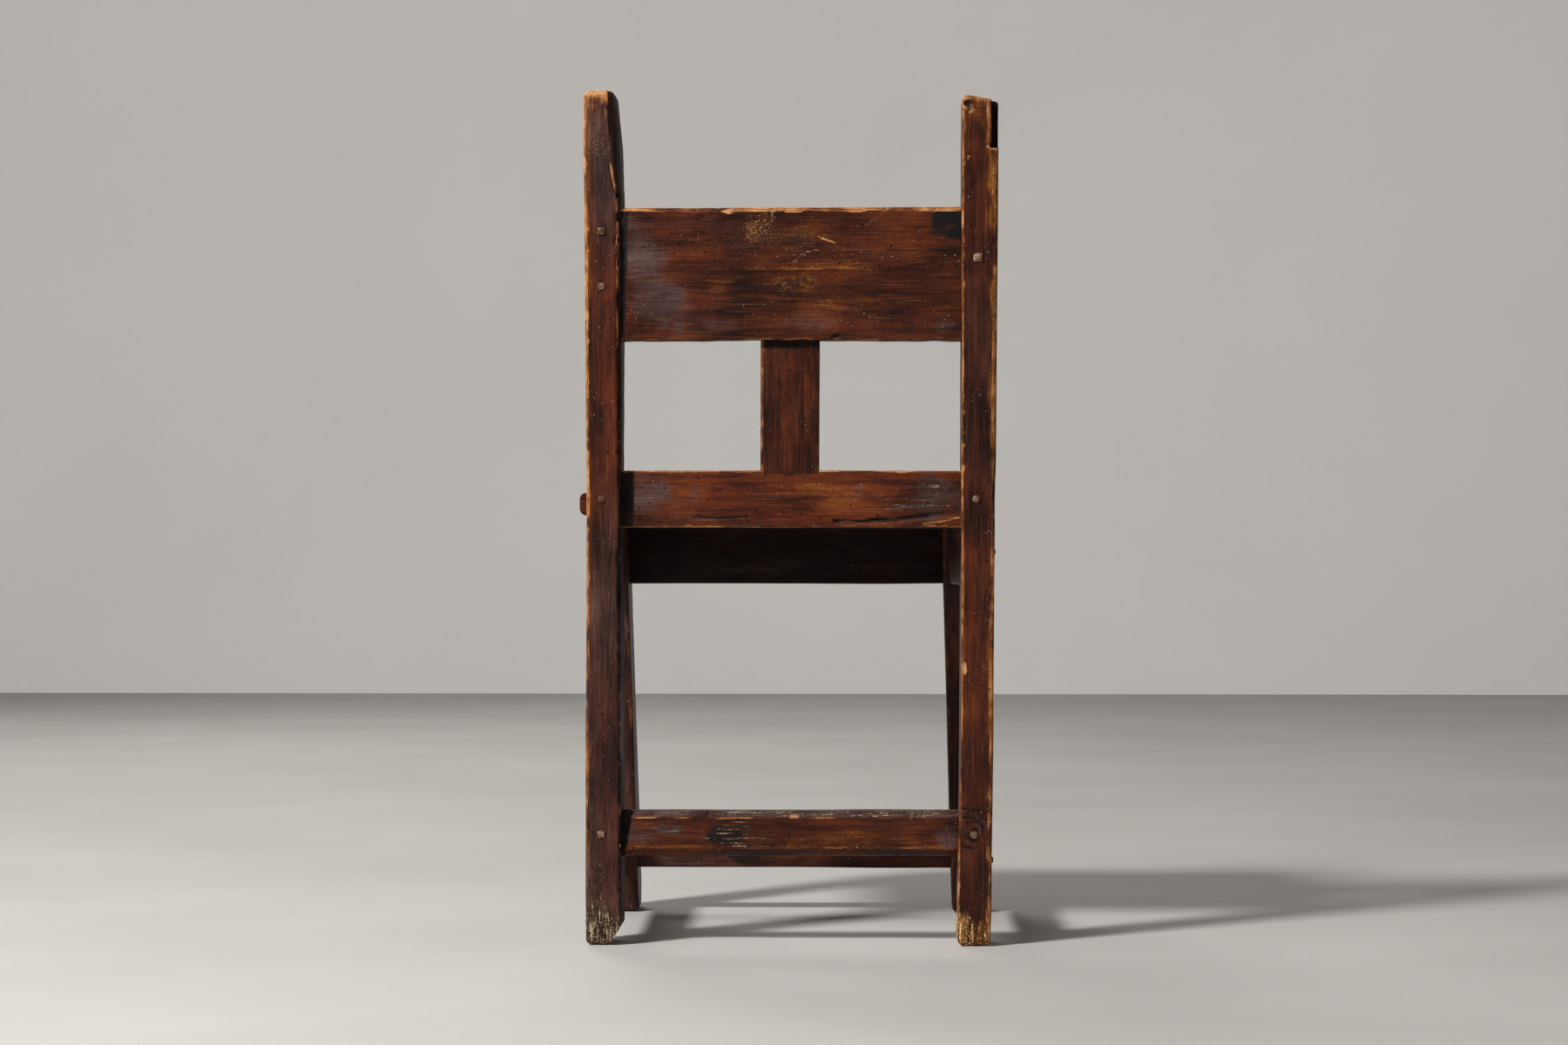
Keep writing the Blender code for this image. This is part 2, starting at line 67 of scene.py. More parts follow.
def settle_back(points):
    """Lean squared-up points with the back frame."""
    x, y, z = points.T
    return np.column_stack([x + sway * z, y - rake * z, z])


def drift(points, pitch, seed):
    """Smooth noise from -1 to 1, with features about one pitch (metres, or one for each axis) across."""
    place = points / np.asarray(pitch, float)
    cell = np.floor(place)
    share = place - cell
    share = share * share * (3 - 2 * share)
    total = np.zeros(len(points))
    for corner in np.ndindex(2, 2, 2):
        key = (cell + corner) @ np.array([127.1, 311.7, 74.7]) + seed * 19.19
        value = np.sin(key) * 43758.5453
        weight = np.prod(np.where(np.array(corner, bool), share, 1 - share), axis=1)
        total += (value - np.floor(value)) * weight
    return 2 * total - 1


def rounding(past, radius):
    """How far a rounded edge has drawn in, at places past the start of its round."""
    past = np.clip(past, 0, radius)
    return radius - np.sqrt(radius ** 2 - past ** 2)


def put(name, data):
    """Make an object and put it in the scene."""
    thing = bpy.data.objects.new(name, data)
    bpy.context.scene.collection.objects.link(thing)
    return thing


class Stock:
    """A squared piece of wood on the bench: its points, the way each one faces, and the marks on it."""

    def __init__(self, name, low, high, along, steps, seed):
        bm = bmesh.new()
        bmesh.ops.create_cube(bm, size=2.0)
        for axis in range(3):
            uncut = [edge for edge in bm.edges if abs(edge.verts[0].co[axis] - edge.verts[1].co[axis]) > 1.0]
            bmesh.ops.subdivide_edges(bm, edges=uncut, cuts=steps[axis] - 1, use_grid_fill=True)
        bmesh.ops.recalc_face_normals(bm, faces=bm.faces)
        self.mesh = bpy.data.meshes.new(name)
        bm.to_mesh(self.mesh)
        bm.free()
        unit = np.empty(len(self.mesh.vertices) * 3)
        self.mesh.vertices.foreach_get("co", unit)
        self.unit = unit.reshape(-1, 3)
        self.along = along
        self.across = [axis for axis in range(3) if axis != along]
        self.low = np.array(low, float)
        self.high = np.array(high, float)
        self.half = (self.high - self.low) / 2
        self.middle = (self.high + self.low) / 2

        # Points gather towards the arrises, where the wear is
        gather = np.full(3, 0.6)
        gather[along] = 0.3
        self.points = self.middle + self.half * (
            (1 - gather) * self.unit + gather * np.sin(self.unit * math.pi / 2))
        self.out = np.zeros_like(self.points)
        ends = np.abs(self.unit[:, along]) > 0.9999
        self.out[ends, along] = np.sign(self.unit[ends, along])
        self.marks = {kind: np.zeros(len(self.points)) for kind in mark_kinds}
        self.seed = seed

    def ease(self, arrises):
        """Round, chamfer, chip and rub the four long arrises."""
        a, b = self.across
        for number, ((side_a, side_b), arris) in enumerate(arrises.items()):
            here = (side_a * self.unit[:, a] >= 0) & (side_b * self.unit[:, b] >= 0)
            offset = np.abs(self.points[here] - self.middle)
            line = np.zeros((here.sum(), 3))
            line[:, 0] = self.points[here, self.along]
            line[:, 1] = 0.37 + number
            chip = np.clip(drift(line, 0.0055, self.seed + 1) * 2.2 - 0.75, 0, 1)
            loss = np.broadcast_to(arris.radius, len(here))[here] * (1 + 0.3 * drift(line, 0.021, self.seed))
            loss = loss + arris.chips * chip
            reach_a = np.maximum(offset[:, a] - self.half[a] + loss, 0)
            reach_b = np.maximum(offset[:, b] - self.half[b] + loss, 0)
            norm = (reach_a ** arris.power + reach_b ** arris.power) ** (1 / arris.power)
            shrink = np.where(norm > loss, loss / np.maximum(norm, 1e-9), 1)
            length = np.maximum(np.hypot(reach_a, reach_b), 1e-9)
            for axis, side, reach in ((a, side_a, reach_a), (b, side_b, reach_b)):
                self.points[here, axis] -= side * reach * (1 - shrink)
                self.out[here, axis] = np.where(reach > 0, side * reach / length, self.out[here, axis])
            away = np.maximum(np.maximum(self.half[a] - loss - offset[:, a],
                                         self.half[b] - loss - offset[:, b]), 0)
            uneven = 0.3 * drift(line, 0.03, self.seed + 2)
            rub = np.broadcast_to(arris.rubbed, len(here))[here]
            rub = rub * (0.82 + uneven + 0.3 * drift(line, 0.006, self.seed + 6))
            pale = np.clip(rub * np.exp(-(away / arris.fade) ** 2), 0, 1)
            self.marks["wear"][here] = np.maximum(self.marks["wear"][here], pale)

    def weather(self, swell, ripple):
        """Make the faces uneven, as hand tools and shrinkage leave them."""
        broad = np.full(3, 0.02)
        broad[self.along] = 0.08
        fine = np.full(3, 0.003)
        fine[self.along] = 0.035
        depth = swell * drift(self.points, broad, self.seed + 3)
        depth = depth + ripple * drift(self.points, fine, self.seed + 4)
        self.points += self.out * depth[:, None]

    def draw_in(self, inset):
        """Draw the sides in towards the middle, by an inset at their edges."""
        for axis in (0, 1):
            self.points[:, axis] -= (self.points[:, axis] - self.middle[axis]) * inset / self.half[axis]

    def split_foot(self, fray, deep, width, seed, amount):
        """Split a frayed foot's sides into fibres of one width."""
        groove = np.abs(drift(self.points, (width, width, 0.045), seed))
        self.push(-deep * fray * (1 - groove) ** 2, self.out * (np.abs(self.out[:, 2:]) < 0.5))
        self.mark("fray", amount * fray)

    def near(self, centre, radii, ragged=0.3, soft=0.5):
        """How far each point lies inside a blot: 1 in its middle, 0 outside, with a ragged edge."""
        radii = np.array(radii, float)
        span = np.sqrt((((self.points - np.array(centre)) / radii) ** 2).sum(axis=1))
        span += ragged * drift(self.points, np.minimum(radii, 0.02) * 0.7, self.seed + 5)
        share = np.clip((1 - span) / soft, 0, 1)
        return share * share * (3 - 2 * share)

    def patchy(self, base, swing, pitch, seed):
        """Uneven amounts from 0 to 1 about a base, with features about one pitch (metres) across."""
        return np.clip(base + swing * drift(self.points, pitch, seed), 0, 1)

    def measure_from(self, corner, skin, facing):
        """Set the corner that blots and scratches are placed from, and how far blots reach round an arris."""
        self.corner = np.array(corner, float)
        self.skin = skin
        self.facing = facing

    def blot(self, across, up, wide, tall, ragged=0.3, soft=0.5):
        """A blot on the rear face: its place and its half sizes in millimetres."""
        centre = self.corner + np.array((across, 0.0, up)) / 1000
        share = self.near(centre, (wide / 1000, self.skin, tall / 1000), ragged, soft)
        return share * (self.out[:, 1] < self.facing)

    def scratch(self, width, *places):
        """How near each point of the rear face lies to a line drawn over places, in millimetres."""
        path = self.corner[[0, 2]] + np.array(places, float) / 1000
        spot = self.points[:, [0, 2]]
        nearest = np.full(len(spot), np.inf)
        for start, end in zip(path[:-1], path[1:]):
            run = end - start
            share = np.clip((spot - start) @ run / (run @ run), 0, 1)
            nearest = np.minimum(nearest, np.linalg.norm(spot - start - share[:, None] * run, axis=1))
        return np.exp(-(nearest * 1000 / width) ** 2) * (self.out[:, 1] < -0.5)

    def push(self, amount, way):
        """Move points by an amount each, along one way or along each point's own way."""
        self.points += np.asarray(amount)[:, None] * np.asarray(way)

    def mark(self, kind, amount):
        self.marks[kind] = np.clip(np.maximum(self.marks[kind], amount), 0, 1)

    def daub(self, ragged, soft, **blots):
        """Mark blots of each kind, in rows of across, up, half width, half height and strength."""
        for kind, rows in blots.items():
            for *spot, amount in rows:
                self.mark(kind, amount * self.blot(*spot, ragged, soft))

    def carve(self, place, deep, kind, amount=1.0, way=(0.0, 1.0, 0.0)):
        """Press a place in, straight from the rear or along a way, and mark it."""
        self.push(deep * place, way)
        self.mark(kind, amount * place)

    def finish(self, material, slot, node, settle=None):
        """Lean the piece with the frame, give it its marks and finish, and put it in its solid's place."""
        if settle:
            self.points = settle(self.points)
        self.mesh.vertices.foreach_set("co", self.points.astype(np.float32).ravel())
        for kind, amount in self.marks.items():
            values = self.mesh.attributes.new(kind, "FLOAT", "POINT").data
            values.foreach_set("value", amount.astype(np.float32))
        self.mesh.update()
        self.mesh.shade_smooth()
        self.mesh.set_sharp_from_angle(angle=math.radians(50))
        self.mesh.materials.append(material)
        piece = put(self.mesh.name, self.mesh)
        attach(piece, "root")
        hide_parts(node)
        return piece


def linear(code):
    """An sRGB hex colour as linear values."""
    channels = [int(code[start:start + 2], 16) / 255 for start in (1, 3, 5)]
    return [c / 12.92 if c <= 0.04045 else ((c + 0.055) / 1.055) ** 2.4 for c in channels] + [1.0]


def add_node(tree, kind, links, out=0, stops=(), **settings):
    """Add one node, link its inputs or set them to values, and give back one of its outputs."""
    node = tree.nodes.new("ShaderNode" + kind)
    for key, value in settings.items():
        setattr(node, key, value)
    for socket, value in links.items():
        if isinstance(value, bpy.types.NodeSocket):
            tree.links.new(value, node.inputs[socket])
        else:
            node.inputs[socket].default_value = value
    for number, (place, code) in enumerate(stops):
        if number == len(node.color_ramp.elements):
            node.color_ramp.elements.new(1.0)
        node.color_ramp.elements[number].position = place
        node.color_ramp.elements[number].color = linear(code)
    return node.outputs[out]


def weigh(tree, total, parts):
    """Add outputs up, each times its share, onto a first value."""
    for output, share in parts:
        total = add_node(tree, "Math", {0: output, 1: share, 2: total}, operation="MULTIPLY_ADD")
    return total


def start_material(name):
    """A new material, its node tree, its shader and the object coordinates for its patterns."""
    material = bpy.data.materials.new(name)
    material.use_nodes = True
    tree = material.node_tree
    return material, tree, tree.nodes["Principled BSDF"], add_node(tree, "TexCoord", {}, "Object")


# What each mark shows: its break-up, where it starts and is full, how far it follows the mark, its colours
wood_marks = (
    ("gold", (("streaks", 0.6), ("grit", 0.4), ("patina", 0.6)), 0.06, 0.45, 0.0,
     ((0.36, "#2c1407"), (0.50, "#5f300d"), (0.62, "#864f19"), (0.80, "#b08138"))),
    # This mark is grey wax bloom, and also painted sheen
    ("bloom", (("streaks", 0.45), ("grit", 0.2), ("patina", 0.6)), 0.06, 0.52, 0.0,
     ((0.34, "#2c1916"), (0.50, "#452f2c"), (0.64, "#5d4744"), (0.80, "#7d6a68"))),
    # This mark is scorch, dirt and stains, and also painted shade
    ("burn", (("grit", -0.6), ("streaks", -0.3), ("patina", 0.8)), 0.08, 0.46, 0.0,
     ((0.40, "#060404"), (0.60, "#120c0b"), (0.80, "#2b2020"))),
    ("wear", (("streaks", 0.9), ("grit", 0.35)), 0.12, 0.42, 0.45,
     ((0.40, "#4a210c"), (0.62, "#7c441a"), (0.82, "#a76a34"), (1.00, "#cb976a"))),
    # This mark is frayed fibres and rubbed lines, and also glints and sheen painted as pale silver lines
    ("fray", (("fibres", 1.4), ("grit", 0.9)), 0.12, 0.36, 0.08,
     ((0.38, "#080504"), (0.52, "#2b1d16"), (0.66, "#76604a"), (0.84, "#cdbba0"))))
ochre_fray = ((0.38, "#1c0d05"), (0.50, "#5e3717"), (0.62, "#b07c40"), (0.78, "#ecc48e"))


def waxed_wood(name, grain_turn, tones, roughness):
    """Old wood, planed by hand and waxed for generations: streaked along the grain, blotched by dirt and
    polish, bored by beetles, and where its marks say so rubbed bare and golden, grey with bloom and painted
    sheen, scorched and stained, darkened with painted shade, and frayed, with pale specks and silver lines
    painted as glints."""
    material, tree, shader, place = start_material(name)
    grain = add_node(tree, "Mapping", {"Vector": place, "Rotation": grain_turn})

    # Lengths and widths in mm: growth bands are 4 wide, polish clouds 24. Streaks of 0.9 and hairlines of
    # 0.5 are coarser than real ones, so that they show
    layers = {"ruddy": add_node(tree, "Attribute", {}, "Fac", attribute_name="ruddy")}
    for layer, length, width, detail in (
            ("bands", 240, 4.0, 2), ("streaks", 22, 0.9, 3), ("patina", 60, 24, 5), ("pores", 6, 0.6, 1),
            ("grit", 1.5, 1.3, 3), ("fibres", 14, 1.0, 3), ("hairs", 45, 0.5, 1)):
        scale = (1000 / length, 1000 / width, 1000 / width)
        stretched = add_node(tree, "Mapping", {"Vector": grain, "Scale": scale})
        layers[layer] = add_node(tree, "TexNoise", {"Vector": stretched, "Scale": 1.0, "Detail": detail,
                                                    "Roughness": 0.6})
    tone = weigh(tree, -0.35, ((layers["patina"], 0.8), (layers["bands"], 0.3), (layers["streaks"], 0.35),
                               (layers["grit"], 0.25), (layers["ruddy"], 0.22)))
    colour = add_node(tree, "ValToRGB", {"Fac": tone}, stops=tones)

    covers = {}
    for kind, shares, start, full, follow, stops in wood_marks:
        mark = add_node(tree, "Attribute", {}, "Fac", attribute_name=kind)
        centred = 0.5 - 0.5 * sum(share for layer, share in shares)
        figure = weigh(tree, centred, [(layers[layer], share) for layer, share in shares])
        amount = add_node(tree, "Math", {0: figure, 1: mark}, operation="MULTIPLY")
        covers[kind] = add_node(tree, "MapRange", {"Value": amount, "From Min": start, "From Max": full},
                                interpolation_type="SMOOTHSTEP")
        shade = weigh(tree, figure, ((mark, follow),))
        hue = add_node(tree, "ValToRGB", {"Fac": shade}, stops=stops)
        if kind == "fray":
            ochre = add_node(tree, "ValToRGB", {"Fac": shade}, stops=ochre_fray)
            hue = add_node(tree, "Mix", {0: covers["gold"], 6: hue, 7: ochre}, 2, data_type="RGBA")
        colour = add_node(tree, "Mix", {0: covers[kind], 6: colour, 7: hue}, 2, data_type="RGBA")

    # Hairlines, where the wax has gone from the grain's ridges
    clear = add_node(tree, "Math", {0: 1.0, 1: covers["burn"]}, operation="SUBTRACT")
    hairs = add_node(tree, "MapRange", {"Value": layers["hairs"], "From Min": 0.60, "From Max": 0.74,
                                        "To Max": 0.27})
    hairs = add_node(tree, "Math", {0: hairs, 1: clear}, operation="MULTIPLY")
    colour = add_node(tree, "Mix", {0: hairs, 6: colour, 7: linear("#95674b")}, 2, data_type="RGBA")

    # Pale specks painted as small glints off the wax crust, crumbs where the specks mark says so, and beetle
    # holes of 1 to 2 mm in colonies. Each has a pitch and a radius in mm
    colony = add_node(tree, "TexNoise", {"Vector": place, "Scale": 1 / 0.045, "Detail": 1.0})
    wobble = add_node(tree, "TexNoise", {"Vector": place, "Scale": 1 / 0.0014, "Detail": 1.0}, "Color")
    uneven = add_node(tree, "VectorMath", {0: wobble, 1: (0.0011, 0.0011, 0.0011), 2: place},
                      operation="MULTIPLY_ADD")
    crowds = [add_node(tree, "MapRange", {"Value": colony, "From Min": low, "From Max": low + reach,
                                          "To Min": 0.3}) for low, reach in ((0.46, 0.12), (0.40, 0.08))]
    crowds[0] = add_node(tree, "Math", {0: crowds[0], 1: clear}, operation="MULTIPLY")
    crowds.insert(1, add_node(tree, "Attribute", {}, "Fac", attribute_name="specks"))
    for crowd, pitch, radius, code in zip(crowds, (3.6, 1.4, 6.4), (0.38, 0.62, 0.90),
                                          ("#b8a48e", "#b89c74", "#050302")):
        cells = add_node(tree, "TexVoronoi", {"Vector": uneven, "Scale": 1000 / pitch}, "Distance")
        spread = add_node(tree, "MapRange", {"Value": cells.node.outputs["Color"], "From Min": 0.25,
                                             "From Max": 0.75, "To Min": 0.35, "To Max": 1.1})
        span = add_node(tree, "Math", {0: cells, 1: spread}, operation="DIVIDE")
        hole = add_node(tree, "MapRange", {"Value": span, "From Min": radius / pitch,
                                           "From Max": 0.7 * radius / pitch})
        hole = add_node(tree, "Math", {0: hole, 1: crowd}, operation="MULTIPLY")
        colour = add_node(tree, "Mix", {0: hole, 6: colour, 7: linear(code)}, 2, data_type="RGBA")

    matt = weigh(tree, roughness - 0.2, ((layers["patina"], 0.35), (layers["grit"], 0.1),
                                         (covers["wear"], 0.12), (covers["fray"], 0.3), (covers["burn"], 0.3)))
    ridges = add_node(tree, "Math", {0: layers["fibres"], 1: covers["fray"]}, operation="MULTIPLY")
    height = weigh(tree, 0.0, ((layers["streaks"], 0.6), (layers["pores"], 0.4), (layers["grit"], 0.35),
                               (ridges, 2.0), (hole, -3.0)))
    bump = add_node(tree, "Bump", {"Height": height, "Strength": 0.8, "Distance": 0.0004})
    for socket, source in (("Base Color", colour), ("Roughness", matt), ("Normal", bump)):
        tree.links.new(source, shader.inputs[socket])
    shader.inputs["Specular IOR Level"].default_value = 0.18
    return material


upright_turn = (-rake_angle, math.radians(90), 0.0)
post_wood = waxed_wood("old_waxed_wood_upright", upright_turn,
                       ((0.28, "#0d0503"), (0.43, "#250e07"), (0.55, "#41190b"), (0.69, "#5f2911"),
                        (0.88, "#7f461c")), 0.42)


def cut_away(piece, waste):
    """Saw a piece of waste out of a finished piece, and keep the result as a plain mesh."""
    for kind in mark_kinds:
        waste.mesh.attributes.new(kind, "FLOAT", "POINT")
    waste.mesh.vertices.foreach_set("co", waste.points.astype(np.float32).ravel())
    cutter = put(waste.mesh.name, waste.mesh)
    saw = piece.modifiers.new("saw cut", "BOOLEAN")
    saw.operation = "DIFFERENCE"
    saw.solver = "EXACT"
    saw.object = cutter
    depsgraph = bpy.context.evaluated_depsgraph_get()
    mesh = bpy.data.meshes.new_from_object(piece.evaluated_get(depsgraph))
    piece.modifiers.clear()
    piece.data = mesh
    bpy.data.objects.remove(cutter, do_unlink=True)


back_pegs = ("crest_peg_left_upper", "crest_peg_left_lower", "crest_peg_right", "lower_rail_peg_left",
             "lower_rail_peg_right", "rear_stretcher_peg_left", "rear_stretcher_peg_right")
for side in sides:
    left_edge, right_edge = post_x[side]
    top = post_box[side][1].z
    post = Stock(f"post_{side}", (left_edge, rear_face, 0.0), (right_edge, rear_face + post_depth, top),
                 2, (22, 30, 440), 11 if side == "left" else 37)
    post.measure_from((left_edge, rear_face, 0.0), 0.012, 0.3)
    level = post.points[:, 2].copy()
    share = (post.points[:, 0] - left_edge) / (right_edge - left_edge)
    if side == "left":
        chamfer = np.interp(level, (0.30, 0.44, 0.59, 0.633, 0.672), (0.0016, 0.0030, 0.0027, 0.0052, 0.0042))
        handled = np.interp(level, (0.02, 0.12, 0.24, 0.36, 0.62), (0.40, 0.50, 0.68, 0.80, 0.92))
        post.ease({(-1, -1): Arris(0.0022, 2.0, 0.0012, handled, 0.0006),
                   (1, -1): Arris(chamfer, 1.2, 0.0016, 0.2, 0.0010),
                   (-1, 1): Arris(0.0022, 2.0, 0.0012, 0.6, 0.0018),
                   (1, 1): Arris(0.0020, 2.0, 0.0010, 0.5, 0.0016)})
        outer = np.interp(level, (0.0, 0.34, 0.50, 0.64), (-0.0003, 0.0012, 0.0, -0.0013))
        inner = np.interp(level, (0.0, 0.34, 0.59, 0.633, 0.655, 0.674),
                          (0.0003, -0.0006, 0.0, -0.0016, -0.0039, -0.0056))
    else:
        post.ease({(-1, -1): Arris(0.0014, 2.0, 0.0012, 0.7, 0.0006),
                   (1, -1): Arris(0.0026, 2.0, 0.0008, 0.66, 0.0026),
                   (-1, 1): Arris(0.0020, 2.0, 0.0010, 0.5, 0.0016),
                   (1, 1): Arris(0.0022, 2.0, 0.0012, 0.6, 0.0018)})
        outer = np.interp(level, (0.03, 0.16, 0.33, 0.57), (0.0, 0.0021, 0.0016, 0.0))
        inner = np.interp(level, (0.03, 0.16, 0.33, 0.57), (-0.0011, -0.0010, -0.0004, 0.0))
    pared = np.interp(level, (0.56, 0.594, 0.62, 0.655, 0.672), (0.0, 0.0012, 0.0036, 0.0036, 0.0028))
    pared = pared * (side == "left")
    slant = np.clip(1 - (post.points[:, 1] - rear_face) / 0.011, 0, 1)
    post.points[:, 0] += outer * (1 - share) + (inner - pared * slant) * share
    post.weather(0.0005, 0.00012)

    # Ends: the top is rubbed round, the foot is split into fibres and rounded off by the floor
    top_round = 0.006 if side == "left" else 0.0035
    foot_round = 0.006
    post.draw_in(rounding(level - (top - top_round), top_round) + rounding(foot_round - level, foot_round))
    ragged_level = level + 0.007 * drift(post.points, (0.004, 0.004, 0.05), 5)
    if side == "left":
        fray = np.clip((0.044 - ragged_level) / 0.034, 0, 1)
    else:
        frayed_to = np.interp(share, (0.05, 0.2, 0.4, 0.9), (0.036, 0.032, 0.025, 0.022))
        fray = np.clip((frayed_to - ragged_level) / 0.009, 0, 1)
    post.split_foot(fray, 0.0016, 0.0032, 8, 0.8)

    if side == "left":
        post.points[:, 0] -= np.clip(post.points[:, 0] - (right_edge - 0.0095 + 0.6 * level), 0, None)
        post.mark("specks", 0.5 * np.clip((0.027 - ragged_level) / 0.012, 0, 1))
        post.mark("burn", 0.7 * fray)
        post.daub(0.6, 1.0, specks=((13, 630, 9, 22, 0.3),))
        for amount, *places in ((0.7, (12.6, 65), (11.9, 58), (10.8, 52)), (0.4, (4.0, 49), (7.5, 36.5)),
                                (0.4, (7.6, 49), (9.5, 34)), (0.5, (12, 41), (13.4, 30))):
            post.carve(post.scratch(0.8, *places), 0.0006, "fray", amount)
        # Grey wax bloom and painted sheen, more near the foot and the top
        greying_and_sheen = np.interp(level, (0.0, 0.10, 0.30, 0.38, 0.52, 0.58, 0.66),
                           (0.6, 0.6, 0.5, 0.1, 0.12, 0.45, 0.7))
        greying_and_sheen = post.patchy(greying_and_sheen, 0.25, (0.02, 0.02, 0.09), 21)
        post.mark("bloom", greying_and_sheen * np.where(post.out[:, 1] < -0.3, 1.0, 0.4))
        # Painted shade: the inner side, which faces away from the lamp, is darkened
        post.mark("burn", 0.6 * np.clip(2.5 * post.out[:, 0] - 0.8, 0, 1))
        post.mark("ruddy", np.interp(level, (0.30, 0.37, 0.52, 0.57), (0.0, 0.25, 0.25, 0.0)))
        post.daub(0.4, 1.0,
                  burn=((13, 612, 14, 60, 0.5), (14, 560, 12, 50, 0.3), (24, 300, 6, 60, 0.3)),
                  gold=((2, 560, 6, 150, 0.75), (2, 330, 6, 170, 0.75), (2, 110, 5.5, 130, 0.8),
                        (10, 640, 16, 34, 0.35)),
                  wear=((3, 650, 5, 30, 0.4),))

        # The inner arris, on the side away from the lamp, is painted black all the way down as shade and
        # pressed in a little, with pale crumbs left in it
        arris_dent_and_shade = np.exp(-((post.points[:, 0] - (right_edge + inner - 0.0012)) / 0.0017) ** 2)
        arris_dent_and_shade *= (post.out[:, 1] < 0.2) * np.interp(level, (0.03, 0.06, 0.50, 0.56), (0.3, 1.0, 1.0, 0.2))
        crumbs = post.patchy(-0.9, 2.4, (0.0020, 0.0020, 0.0040), 43)
        post.mark("burn", 0.8 * arris_dent_and_shade * post.patchy(0.8, 0.7, (0.005, 0.005, 0.012), 44))
        post.push(0.0005 * arris_dent_and_shade * (1 - crumbs), (-0.5, 0.8, 0.0))
        post.mark("wear", 0.75 * arris_dent_and_shade * crumbs)
        worn_top = np.clip((level - 0.655 + 0.008 * drift(post.points, 0.006, 4)) / 0.016, 0, 1)
        post.mark("wear", 0.9 * worn_top * (post.out[:, 0] < 0.4))
        post.mark("bloom", 0.9 * np.clip((level - top + 0.004) / 0.003, 0, 1))
        gilt = level - 0.632 + 0.012 * drift(post.points, (0.004, 0.004, 0.02), 7)
        post.mark("gold", np.clip(gilt / 0.03, 0, 1))
        rim_x = right_edge + inner - pared - chamfer
        rim = np.exp(-((post.points[:, 0] - rim_x) / 0.0010) ** 2) * (post.out[:, 1] < -0.4)
        post.mark("wear", 0.9 * rim * np.interp(level, (0.40, 0.47, 0.64), (0.0, 0.8, 1.0))
                  * post.patchy(0.75, 0.8, (everywhere, everywhere, 0.009), 14))
        for across, up, wide, tall, deep, dirt in (
                (28.0, 286, 3.0, 20, 0.0028, 1.0), (26.0, 592, 2.2, 4.5, 0.0014, 0.9),
                (26.0, 575, 2.2, 5.5, 0.0018, 0.9), (26.0, 556, 2.2, 4.5, 0.0016, 0.9),
                (26.0, 540, 2.2, 6.0, 0.0014, 0.9), (26.5, 512, 2.0, 6.0, 0.0014, 0.9),
                (28.0, 430, 2.2, 4.5, 0.0010, 0.9), (28.0, 412, 2.2, 4.5, 0.0012, 0.9)):
            post.carve(post.blot(across, up, wide, tall, 0.6), deep, "burn", dirt, (-0.7, 0.7, 0.0))
        post.push(0.0022 * post.blot(0.0, 193, 2.8, 6, 0.5), (0.7, 0.7, 0.0))
    else:
        post.points[:, 2] -= 0.0030 * share * np.clip((level - top + 0.02) / 0.02, 0, 1)
        post.mark("bloom", post.patchy(0.12, 0.3, (0.02, 0.02, 0.12), 22))
        post.mark("ruddy", np.interp(level, (0.10, 0.16, 0.27, 0.33), (0.0, 0.3, 0.3, 0.0)))
        post.mark("burn", np.interp(level, (0.34, 0.38, 0.51, 0.57), (0.0, 0.42, 0.42, 0.0)))
        post.mark("burn", 0.45 * post.patchy(-0.1, 1.0, (0.012, 0.012, 0.16), 23))
        post.daub(0.5, 0.9,
                  gold=((25, 600, 8, 80, 0.95), (26, 450, 6.5, 140, 0.85), (4, 640, 6, 40, 0.5),
                        (26, 200, 5, 150, 0.6), (13, 655, 14, 24, 0.5), (14, 210, 14, 70, 0.25)),
                  wear=((20.5, 645, 4.0, 28, 0.8), (5.5, 621, 3.0, 2.6, 0.9), (4, 260, 4, 60, 0.3),
                        (0.6, 46, 1.3, 26, 0.8)),
                  burn=((18, 602, 11, 4, 0.6),))
        post.mark("wear", 0.8 * np.clip((level - 0.657 + 0.006 * drift(post.points, 0.006, 4)) / 0.014, 0, 1))

        # A knot hole at the top, then three places where chips have broken off
        knot = post.blot(4.8, 662, 4.4, 4.6, 0.4)
        post.push(0.0030 * knot ** 2, (0.2, 0.98, 0.0))
        post.marks["wear"] *= 1 - knot
        post.mark("wear", 0.85 * post.blot(4.8, 661, 6.4, 6.6, 0.4) * (1 - knot))
        post.mark("bloom", knot)
        post.mark("burn", 0.8 * post.blot(5.2, 660.8, 2.6, 2.6, 0.6))
        post.carve(post.blot(24.5, 629, 5.5, 3.6, 0.5), 0.0012, "wear", way=(-0.4, 0.9, 0.0))
        post.carve(post.blot(28.5, 354, 2.6, 21, 0.4), 0.0030, "burn", way=(-0.75, 0.66, 0.0))
        post.carve(post.blot(4.2, 221, 2.2, 6, 0.4), 0.0012, "wear", way=(0.5, 0.86, 0.0))

        # A knot low down, with its rings standing out, and the splits and scribed lines across the face
        swirl = post.blot(14, 96, 15, 21, 0.5, 0.7)
        ring = np.hypot(post.points[:, 0] - left_edge - 0.014, (post.points[:, 2] - 0.092) * 0.8)
        rings = np.sin(2 * math.pi * ring / 0.0052)
        post.push(0.0005 * swirl * rings, (0.0, 1.0, 0.0))
        post.mark("burn", swirl * (0.35 + 0.4 * np.clip(rings, 0, 1)))
        post.mark("bloom", swirl * np.clip(-rings, 0, 1) * 0.8)
        for deep, dirt, *places in (
                (0.0011, 1.0, (2, 110), (26, 107)), (0.0011, 1.0, (5, 102.5), (26, 101.5)),
                (0.0011, 1.0, (2, 80.5), (13, 77.5)), (0.0012, 1.0, (2.6, 430), (3.1, 412), (2.9, 396)),
                (0.0002, 0.55, (3, 331), (27, 331.4)), (0.0002, 0.55, (3, 318), (27, 318.4))):
            post.carve(post.scratch(0.8, *places), deep, "burn", dirt)
        post.marks["fray"] *= np.interp(share, (0.34, 0.46), (1.0, 0.5))
        post.mark("gold", fray)

